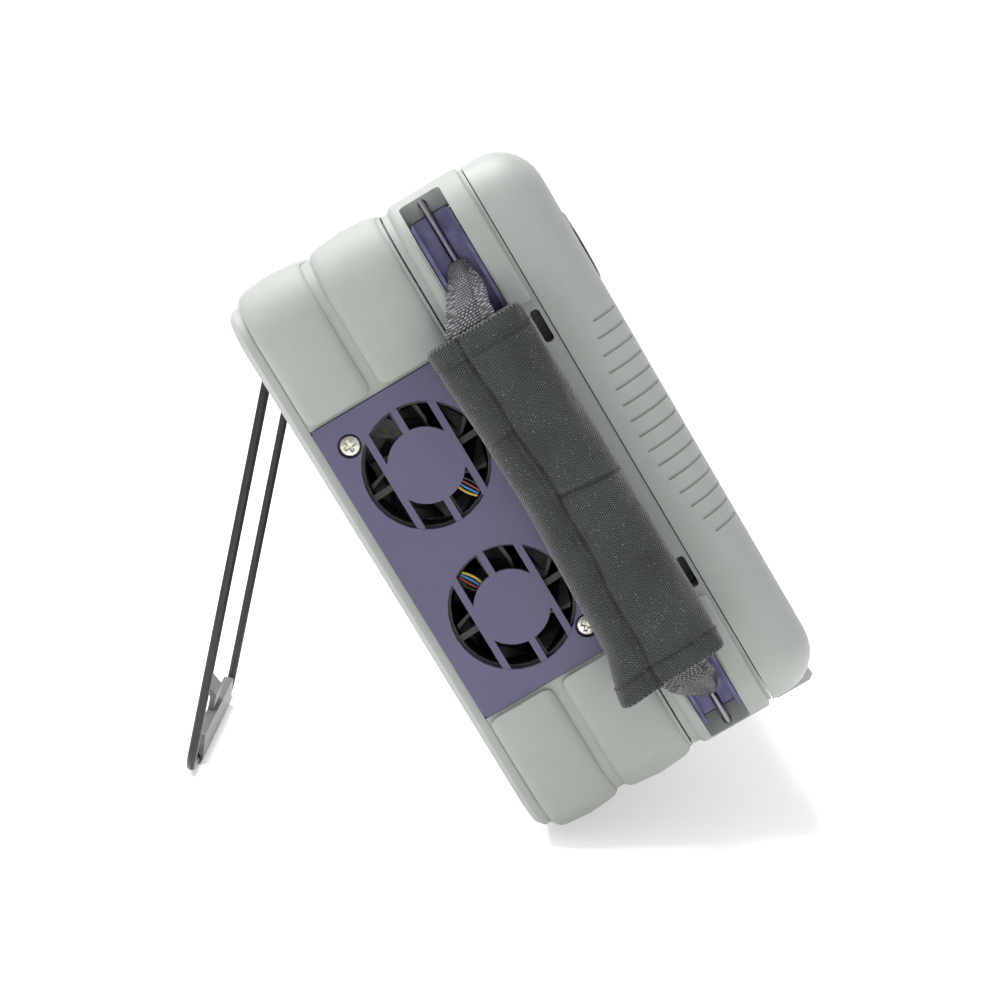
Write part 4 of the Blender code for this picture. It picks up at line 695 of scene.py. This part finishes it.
def fill_with_cloth(piece, share, wall, run, frames=14, pressure=34.0):
    """Pins the bore and the seam, runs Cloth with pressure, and caps how far each point may go."""
    start = np.empty(len(piece.data.vertices) * 3)
    piece.data.vertices.foreach_get("co", start)
    start = start.reshape(-1, 3)
    held = np.clip(wall[:, None] * 1.5, 0, 1) + valley(seam_distance(share, run), HELD_BESIDE_SEAM)
    held = np.clip(held, 0, 1).ravel()
    group = piece.vertex_groups.new(name="held")
    for level in np.linspace(0.1, 1, 10):
        chosen = np.flatnonzero(np.abs(held - level) <= 0.05)
        group.add(chosen.tolist(), float(level), "REPLACE")
    cloth = piece.modifiers.new("fill", "CLOTH")
    settings = cloth.settings
    settings.quality = 5
    settings.mass = 0.2
    settings.tension_stiffness = 25
    settings.compression_stiffness = 12
    settings.bending_stiffness = 0.4
    settings.use_pressure = True
    settings.uniform_pressure_force = pressure
    settings.effector_weights.gravity = 0
    settings.vertex_group_mass = "held"
    cloth.point_cache.frame_end = frames
    for step in range(1, frames + 1):
        bpy.context.scene.frame_set(step)
    graph = bpy.context.evaluated_depsgraph_get()
    moved = np.empty_like(start).ravel()
    piece.evaluated_get(graph).to_mesh().vertices.foreach_get("co", moved)
    step = moved.reshape(-1, 3) - start
    length = np.linalg.norm(step, axis=1, keepdims=True)
    piece.modifiers.remove(cloth)
    capped = SWELL_CAP * np.tanh(length / SWELL_CAP) / np.maximum(length, 1e-9)
    piece.data.vertices.foreach_set("co", (start + step * capped).ravel())
    piece.data.update()
    bpy.context.scene.frame_set(1)
    swell = length.max() / MM
    print(f"the sleeve swelled by up to {swell:.2f} mm, capped at {SWELL_CAP / MM:.1f} mm")


fill_with_cloth(sleeve, sleeve_share, sleeve_wall, sleeve_run)


# %% [markdown]
# Seams come after the padding. A seam is a valley: a bell curve of the distance to a line. The
# long seam runs down the outer face, a hem goes round each end, and a crease crosses the middle
# where the strap has been folded.

# %% Press the seams, hems and creases into the sleeve
HEM = 6.2 * MM  # from each end
FOLD_SHARE = 0.52  # of the sleeve's length
PLEAT_SHARE = 0.76  # of the sleeve's length


def press_seams(piece, share, wall, run):
    """Moves each outer point in by the sum of the valleys; a per-point attribute keeps the depth, to paint
    shade into the seams and creases.
    """
    count = len(share) * len(run)
    where, normal = np.empty(count * 3), np.empty(count * 3)
    piece.data.vertices.foreach_get("co", where)
    piece.data.vertices.foreach_get("normal", normal)
    length = share[:, None] * SLEEVE_LENGTH
    from_seam = seam_distance(share, run)
    front = ease(-from_seam / (3 * MM) + 0.5) * (run < outline_length / 2)[None]
    back = ease(from_seam / (3 * MM) + 0.5) * (run < outline_length / 2)[None]
    lie = run[None] * 0.10
    seam = 0.90 * valley(from_seam, 0.75 * MM) + 0.25 * valley(from_seam - 2.2 * MM, 0.6 * MM)
    hems = sum(0.40 * valley(length - place, 0.55 * MM) for place in (HEM, SLEEVE_LENGTH - HEM))
    fold = 0.80 * valley(length - FOLD_SHARE * SLEEVE_LENGTH - lie, 0.9 * MM) * front
    pleat = 0.50 * valley(length - PLEAT_SHARE * SLEEVE_LENGTH + lie, 0.9 * MM) * back
    pucker = 0.20 * np.sin(length / (1.9 * MM)) * valley(from_seam, 3.5 * MM)
    depth = (seam + hems + fold + pleat + pucker) * MM * (wall < 0.2)[:, None]
    moved = where.reshape(-1, 3) - normal.reshape(-1, 3) * depth.reshape(-1, 1)
    piece.data.vertices.foreach_set("co", moved.ravel())
    # the pressed depth is kept on the points, to paint shade into the seams and creases
    crease_shade = piece.data.attributes.new("crease_shade", "FLOAT", "POINT")
    crease_shade.data.foreach_set("value", np.clip(depth.ravel() / MM * 0.55, 0, 0.7).astype(np.float32))
    piece.data.update()
    shape = (len(share), len(run), 3)
    return moved.reshape(shape), normal.reshape(shape)


sleeve_skin, sleeve_normals = press_seams(sleeve, sleeve_share, sleeve_wall, sleeve_run)
print("seams pressed, sleeve is", (np.ptp(sleeve_skin, axis=(0, 1)) / MM).round(1), "mm")

# %% [markdown]
# Stitches are short thread bars that lie on the cloth. Each one is a small tube between two
# points of the skin. Its middle is lifted by the thread's radius and its ends dip into the
# cloth, so the stitches follow every wrinkle.

# %% Sew the hems and the seam
THREAD = 0.16 * MM  # radius
HEM_STITCHES = 5.0 * MM  # from each end
BESIDE_SEAM = 1.3 * MM
STITCH_STEPS = 3  # rows or columns of the skin from one stitch to the next


def skin_point(row, column):
    """The nearest skin point to fractional rows and columns, and its normal."""
    row = np.clip(np.round(row).astype(int), 0, LENGTH_STEPS - 1)
    column = np.round(column).astype(int) % ROUND
    return sleeve_skin[row, column], sleeve_normals[row, column]


def stitch_tubes(starts, ends, lifts):
    """Six-sided thread bars: start, two lifted middles and end, each ring square to the bar."""
    bars = []
    for start, end, lift in zip(starts, ends, lifts):
        shares = np.array([0.0, 0.25, 0.75, 1.0])[:, None]
        rise = np.array([-0.3, 1.0, 1.0, -0.3])[:, None] * THREAD
        bars.append(tube(start + (end - start) * shares + lift * rise, THREAD, 6, lift))
    return bars


def sew(rows_start, columns_start, rows_end, columns_end):
    """One stitch for each start and end on the skin."""
    start, lift = skin_point(rows_start, columns_start)
    end, _ = skin_point(rows_end, columns_end)
    return stitch_tubes(start, end, lift)


row_step = SLEEVE_LENGTH / (LENGTH_STEPS - 1)
bars = []
for height in (HEM_STITCHES, SLEEVE_LENGTH - HEM_STITCHES):
    column = np.arange(0, ROUND, STITCH_STEPS)
    row = np.full(len(column), height / row_step)
    bars += sew(row, column, row, column + 2)
row = np.arange(9, LENGTH_STEPS - 10, STITCH_STEPS)
column = (SEAM_RUN + seam_wander(row / LENGTH_STEPS) + BESIDE_SEAM) / outline_length * ROUND
bars += sew(row, column, row + 2, column)
piece_from("sleeve_stitching", bars, seam_thread, "case")

# %% [markdown]
# The strap's webbing is a soft knitted band. Flat inside the sleeve, it is gathered
# as it goes down to its rod, so its section shrinks and folds. Pleats are waves round the section,
# and the knit's loops are a finer, offset wave on top of them: real bumps, not just shading.

# %% Gather the webbing round its rods
LOOPS_ROUND = 24
LOOP_PITCH = 1.15 * MM
STEPS_PER_LOOP = 9
LOOP_HEIGHT = 0.50 * MM
PLEATS = 4
PLEAT_DEPTH = 0.15
BLEND_ROWS = 10  # rows on either side that round off the route's corners


def webbing_grid(stations, phase):
    """A tube through stations (place, half width, half thickness) with pleats and knitted loops.

    Section = oval * (1 + pleat wave), then each point moves out by a loop: |cos| * |sin|.
    Gives the grid and each point's loop height as a grey value, which paints the knit's highlights and
    shade.
    """
    places = np.array([station[0] for station in stations], float) * MM
    halves = np.array([station[1:] for station in stations], float) * MM
    steps = np.concatenate([[0], np.cumsum(np.linalg.norm(np.diff(places, axis=0), axis=1))])
    rows = int(steps[-1] / LOOP_PITCH * STEPS_PER_LOOP)
    along = np.linspace(0, steps[-1], rows)
    share = along / steps[-1]
    centre = np.stack([np.interp(along, steps, places[:, k]) for k in range(3)], -1)
    window = 2 * BLEND_ROWS + 1
    ends = [np.repeat(centre[:1], BLEND_ROWS, 0), centre, np.repeat(centre[-1:], BLEND_ROWS, 0)]
    longer = np.concatenate(ends)
    centre = np.stack([np.convolve(longer[:, k], np.ones(window) / window, "valid") for k in range(3)], -1)
    half_width = np.interp(along, steps, halves[:, 0])
    half_thick = np.interp(along, steps, halves[:, 1])
    angle, _ = even_angles(halves[0, 0], halves[0, 1], LOOPS_ROUND * STEPS_PER_LOOP)
    loop_angle = np.linspace(0, 2 * np.pi, LOOPS_ROUND * STEPS_PER_LOOP, endpoint=False)
    depth = (0.05 + PLEAT_DEPTH * np.sin(np.pi * share) ** 0.8 + 0.10 * share)[:, None]
    swing = phase + 2.2 * share[:, None]
    broad = np.sin(PLEATS * angle[None] + swing)
    fine = np.sin(2 * PLEATS * angle[None] - 2 * swing)
    wave = 1 + depth * (broad + 0.45 * fine)
    across, out = flattened(angle[None], half_width[:, None], half_thick[:, None], 0.8)
    run = along[:, None]
    half_step = (np.floor(run / LOOP_PITCH) % 2) * np.pi / 2
    lean = 0.9 * np.sin(2 * loop_angle[None] + run / (2.3 * MM)) + 0.6 * np.sin(run / (0.9 * MM))
    knit = np.abs(np.cos(LOOPS_ROUND * loop_angle[None] / 2 + half_step + lean)) ** 0.8
    knit = knit * np.abs(np.sin(np.pi * run / LOOP_PITCH)) ** 0.7
    size = (half_width / halves[0, 0])[:, None]
    rise = LOOP_HEIGHT * (0.45 + 0.55 * size) * knit
    length = np.sqrt(across**2 + out**2) + 1e-9
    across = across * wave + across / length * rise
    out = out * wave + out / length * rise
    up = np.broadcast_to(centre[:, None, 2], out.shape)
    grid = np.stack([centre[:, None, 0] - out, centre[:, None, 1] + across, up], -1)
    return grid, np.repeat(knit.reshape(-1, 1), 3, 1)


PLEAT_PHASES = {"upper": 0.4, "lower": 2.1}
WEBBING = {
    "upper": [
        ((-156.5, 62.5, 145), 7.2, 2.0),
        ((-156.0, 62.7, 152.8), 7.0, 2.3),
        ((-150.0, 65.0, 158.5), 5.6, 3.0),
        ((-141.0, 67.2, 164.5), 3.8, 3.0),
        ((-133.4, 68.3, 169.6), 2.4, 2.3),
        ((-131.6, 68.5, 170.9), 1.3, 1.3),
    ],
    "lower": [
        ((-156.5, 63.5, 40), 7.2, 2.2),
        ((-156.0, 64.0, 32.2), 7.2, 2.6),
        ((-150.0, 65.8, 26.5), 6.2, 3.4),
        ((-141.0, 67.6, 20.6), 4.2, 3.4),
        ((-133.4, 68.4, 15.6), 2.5, 2.4),
        ((-131.6, 68.5, 14.2), 1.3, 1.3),
    ],
}
for which, stations in WEBBING.items():
    grid, loops = webbing_grid(stations, PLEAT_PHASES[which])
    name = f"gathered_webbing_{which}"
    # the loop heights ride on the points, to paint the knit's highlights and shade
    webbing = piece_from(name, [case_place(grid)], webbing_knit, "case", tint_and_shade=[loops])
    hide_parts(f"strap_webbing_{which}")

# %% [markdown]
# Four thin insulated wires run from each fan's motor to its frame. Each is a tube along a short
# bowed line, and each wire's own tint is stored on its points, so that one finish serves all.

# %% Run the fans' wires
FAN_DEPTH = 29.6 * MM
FAN_HEIGHTS = {"upper": 122.9 * MM, "lower": 72.1 * MM}
LEAD_TURNS = {"upper": math.radians(-59), "lower": math.radians(120)}
WIRE_TINTS = [(0.72, 0.47, 0.09), (0.03, 0.22, 0.50), (0.30, 0.035, 0.02), (0.012, 0.012, 0.012)]
WIRE_RADIUS = 0.42 * MM
WIRE_PITCH = 0.98 * MM
WIRE_START = 11.2 * MM  # from the fan's axis
WIRE_LENGTH = 7.0 * MM


def wire_route(turn, height, lane):
    """A bowed line from the motor out to the duct: start + outward * distance + a sine's bow."""
    t = np.linspace(0, 1, 14)[:, None]
    outward = np.array([0, math.cos(turn), math.sin(turn)])
    sideways = np.array([0, -math.sin(turn), math.cos(turn)])
    middle = np.array([-(SIDE - 4.4 * MM), FAN_DEPTH, height])
    distance = WIRE_START + WIRE_LENGTH * t
    beside = lane - 1.5
    bow = np.sin(np.pi * t) * 0.5 * MM * beside / 1.5
    return middle + outward * distance + sideways * (beside * WIRE_PITCH * (1 - 0.12 * t) + bow)


for which, height in FAN_HEIGHTS.items():
    routes = [case_place(wire_route(LEAD_TURNS[which], height, lane)) for lane in range(4)]
    tubes = [tube(route, WIRE_RADIUS, 10) for route in routes]
    name = f"fan_wires_{which}"
    wires = piece_from(name, tubes, wire_insulation, "case", tint_and_shade=WIRE_TINTS)
    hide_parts(f"fan_lead_{which}")

# %% [markdown]
# A pan-head screw is a low dome with a cross sunk into it. On a polar grid the dome is the
# square root of one minus the radius squared. The cross is how near a point lies to either of
# two lines; the smaller of the two distances gives the recess its tapered walls.

# %% Turn the panel screws
HEAD_RADIUS = 3.2 * MM
HEAD_HEIGHT = 1.6 * MM
FAN_HOLE = 16.8 * MM  # from the fan's axis to its screw holes, each way
ARM_HALF_WIDTH = 0.62 * MM
ARM_REACH = 2.0 * MM
CROSS_DEPTH = 1.05 * MM
SEAT_DEPTH = 2.3 * MM  # how far the head's foot lies below the side face


def screw_grid(turn):
    """Rings from the rim's foot up over the dome to the middle, with the cross pressed in."""
    radius = np.concatenate([[1, 1], np.linspace(1, 0, 40) ** 0.9])
    angle = np.linspace(0, 2 * np.pi, 96, endpoint=False)
    dome = HEAD_HEIGHT * (0.42 + 0.58 * np.sqrt(np.clip(1 - radius**2 * 0.96, 0, 1)))
    dome[0] = 0
    x = HEAD_RADIUS * radius[:, None] * np.cos(angle)[None]
    y = HEAD_RADIUS * radius[:, None] * np.sin(angle)[None]
    u = x * math.cos(turn) + y * math.sin(turn)
    v = y * math.cos(turn) - x * math.sin(turn)
    near_arm = np.minimum(np.abs(u), np.abs(v))
    reach = np.maximum(np.abs(u), np.abs(v))
    cross = ease((ARM_HALF_WIDTH - near_arm) / (0.25 * MM)) * ease((ARM_REACH - reach) / (0.3 * MM))
    height = dome[:, None] - CROSS_DEPTH * cross * (1 - 0.3 * reach / HEAD_RADIUS)
    return np.stack([-height, x, y], -1)


for which, depth, height, turn in (
    ("upper", FAN_DEPTH - FAN_HOLE, FAN_HEIGHTS["upper"] + FAN_HOLE, 0.1),
    ("lower", FAN_DEPTH + FAN_HOLE, FAN_HEIGHTS["lower"] - FAN_HOLE, 0.75),
):
    seat = np.array([-(SIDE - SEAT_DEPTH), depth, height])
    head = case_place(screw_grid(turn) + seat)
    screw = piece_from(f"pan_screw_{which}", [head], screw_steel, "case")
    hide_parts(f"panel_screw_{which}")

# %% [markdown]
# The bail is one steel rod bent to a loop and dipped in black. Its route is a straight leg, a
# quarter-circle bend, the bar on the floor, and the same again mirrored. Its two pins turn out
# into the hinge lugs. A smooth tube along that route replaces the coarser solid.

# %% Bend the bail
WIRE = 1.7 * MM  # radius
BAIL_HALF = 58 * MM
BAIL_LENGTH = 151.1 * MM
PIN_REACH = 65.7 * MM
BAIL_BEND = 7 * MM
PIN_BEND = 2.2 * MM

low, high = (np.array(corner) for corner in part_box("bail_wire"))
foot_bar = np.array([bail_hinge[0], high[1] - WIRE, low[2] + WIRE])
leg = foot_bar - bail_hinge
leg /= np.linalg.norm(leg)
out_of_loop = np.cross(ACROSS, leg)


def bend(centre, radius, first, last, steps):
    """Points (x, down) on an arc: centre + radius (cos a, sin a)."""
    a = np.radians(np.linspace(first, last, steps))
    return np.stack([centre[0] + radius * np.cos(a), centre[1] + radius * np.sin(a)], -1)


half_route = np.concatenate(
    [
        [[PIN_REACH, 0], [PIN_REACH - 0.01 * MM, 0], [BAIL_HALF + PIN_BEND + 1 * MM, 0]],
        bend((BAIL_HALF + PIN_BEND, PIN_BEND), PIN_BEND, -90, -180, 8),
        np.stack([np.full(24, BAIL_HALF), np.linspace(0.05, 0.94, 24) * BAIL_LENGTH], -1),
        bend((BAIL_HALF - BAIL_BEND, BAIL_LENGTH - BAIL_BEND), BAIL_BEND, 0, 90, 12),
        [[BAIL_HALF * 0.5, BAIL_LENGTH]],
    ]
)
flat_route = np.concatenate([half_route, half_route[::-1] * [-1, 1]])
bail_route = bail_hinge + flat_route[:, :1] * ACROSS + flat_route[:, 1:] * leg
rod = tube(bail_route, WIRE, 28, out_of_loop)
bail_rod = piece_from("bail_rod", [rod], bail_coat, "bail")
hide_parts("bail_wire")

# %% [markdown]
# Behind the vents sits a dark sheet that is painted shade: it keeps the inside of the case dark. It is a
# thin folded sheet
# of fine net, so it is a shallow zigzag: its height is a triangle wave along its length.

# %% Fit the dark shade sheet behind the vents
MID_HEIGHT = 97.5 * MM
GAUZE_HALF = 44  # half its height, in mm and in steps
GAUZE_BACK, GAUZE_FRONT = 8.0 * MM, 50.0 * MM
GAUZE_THICKNESS = 0.5 * MM
GAUZE_FOLD = 2 * MM


def gauze_grid():
    """A thin closed sheet whose inner and outer skins both follow a triangle wave."""
    up = np.linspace(-GAUZE_HALF, GAUZE_HALF, 2 * GAUZE_HALF + 1) * MM + MID_HEIGHT
    fold = np.abs((up / GAUZE_FOLD) % 2 - 1) * 0.5 * MM
    outer = SIDE - 9 * MM + fold
    inner = outer - GAUZE_THICKNESS
    ring = [(outer, GAUZE_BACK), (outer, GAUZE_FRONT), (inner, GAUZE_FRONT), (inner, GAUZE_BACK)]
    return np.stack([np.stack(np.broadcast_arrays(a, b, up), -1) for a, b in ring], 1)


# painted shade: a near-black net standing in for the shade inside the case
vent_shade_net = moulded("vent_shade_net", (0.008, 0.008, 0.009), (0.02, 0.02, 0.022), 0.9, 900.0, 0.8)
piece_from("vent_shade_sheet", [case_place(gauze_grid())], vent_shade_net, "case")

# %% [markdown]
# The stage is a pale floor that runs up into a backdrop without a corner, so there is no
# horizon line. It glows a little, so that it stays white. Three large soft lights make the
# almost shadowless look: a strong one overhead, and weak ones at the camera's left and right.

# %% Floor and lights
FLOOR_ENDS = -3, 2
BACK_CURVE = 1.2
WALL_TOP = 4.0


def backdrop():
    """A sheet swept along a profile: flat floor, a quarter circle, then straight up."""
    a = np.linspace(0, np.pi / 2, 24)
    floor = np.stack([np.linspace(*FLOOR_ENDS, 12), np.zeros(12)], -1)
    curve = np.stack([FLOOR_ENDS[1] + BACK_CURVE * np.sin(a), BACK_CURVE * (1 - np.cos(a))], -1)
    wall = np.array([[FLOOR_ENDS[1] + BACK_CURVE, WALL_TOP]])
    profile = np.concatenate([floor, curve[1:], wall])
    y = np.linspace(-4, 4, 9)
    grid = np.stack(np.broadcast_arrays(profile[:, None, 0], y[None], profile[:, None, 1]), -1)
    rows, columns = grid.shape[:2]
    corner_rows, corner_columns = cell_corners(rows, columns, False, False)
    mesh = bpy.data.meshes.new("studio_floor")
    quads = (corner_rows * columns + corner_columns)[:, ::-1]
    mesh.from_pydata(grid.reshape(-1, 3).tolist(), [], quads.tolist())
    mesh.polygons.foreach_set("use_smooth", np.ones(len(mesh.polygons), bool))
    made = bpy.data.objects.new("studio_floor", mesh)
    bpy.context.scene.collection.objects.link(made)
    paper = bpy.data.materials.new("studio_paper")
    paper.use_nodes = True
    shader = paper.node_tree.nodes["Principled BSDF"]
    shader.inputs["Base Color"].default_value = (0.93, 0.925, 0.915, 1)
    shader.inputs["Roughness"].default_value = 0.85
    shader.inputs["Emission Color"].default_value = (1, 0.995, 0.985, 1)
    shader.inputs["Emission Strength"].default_value = 0.33
    made.data.materials.append(paper)


def soft_light(name, place, toward, size, power, colour):
    """A square area light at a place, turned to look at a point."""
    light = bpy.data.lights.new(name, "AREA")
    light.size = size
    light.energy = power
    light.color = colour
    holder = bpy.data.objects.new(name, light)
    bpy.context.scene.collection.objects.link(holder)
    holder.location = place
    holder.rotation_euler = (Vector(toward) - Vector(place)).to_track_quat("-Z", "Y").to_euler()


backdrop()
MIDDLE = (0, 0, 0.1)
soft_light("top_light", (0.10, 0.50, 1.6), MIDDLE, 1.2, 48.0, (1.0, 0.99, 0.98))
soft_light("left_light", (-0.7, 1.4, 0.8), MIDDLE, 0.9, 4.0, (0.98, 0.99, 1.0))
soft_light("front_light", (-1.2, -1.0, 0.9), MIDDLE, 1.0, 2.5, (1.0, 1.0, 1.0))

world = bpy.data.worlds.new("studio_air")
bpy.context.scene.world = world
world.use_nodes = True
air = world.node_tree.nodes["Background"]
air.inputs["Color"].default_value = (1.0, 1.0, 1.0, 1)
air.inputs["Strength"].default_value = 0.60
bpy.context.scene.view_settings.view_transform = "Standard"
bpy.context.scene.view_settings.look = "None"

# %% [markdown]
# The camera stands square to the instrument's left side, a little above it and looking slightly
# down. Its axes are written out from three angles, so that each can be changed alone.

# %% Camera
CAMERA_PLACE = (-0.70365, 0.00237, 0.19980)
YAW, PITCH, ROLL = (math.radians(angle) for angle in (-0.863, 8.83, -0.70))


def aim(yaw, pitch, roll):
    """Right, up and back directions of a camera that looks along +X, turned, lowered and rolled."""
    level = math.cos(pitch)
    look = np.array([level * math.cos(yaw), level * math.sin(yaw), -math.sin(pitch)])
    right = np.cross(look, [0, 0, 1])
    right /= np.linalg.norm(right)
    up = np.cross(right, look)
    c, s = math.cos(roll), math.sin(roll)
    return right * c + up * s, up * c - right * s, -look


camera = bpy.data.objects.new("camera", bpy.data.cameras.new("camera"))
camera.data.lens = 68.7
camera.data.sensor_width = 36
camera.data.clip_start = 0.01
axes = np.eye(4)
axes[:3, :3] = np.stack(aim(YAW, PITCH, ROLL), 1)
axes[:3, 3] = CAMERA_PLACE
camera.matrix_world = Matrix(axes.tolist())
bpy.context.scene.collection.objects.link(camera)
bpy.context.scene.camera = camera
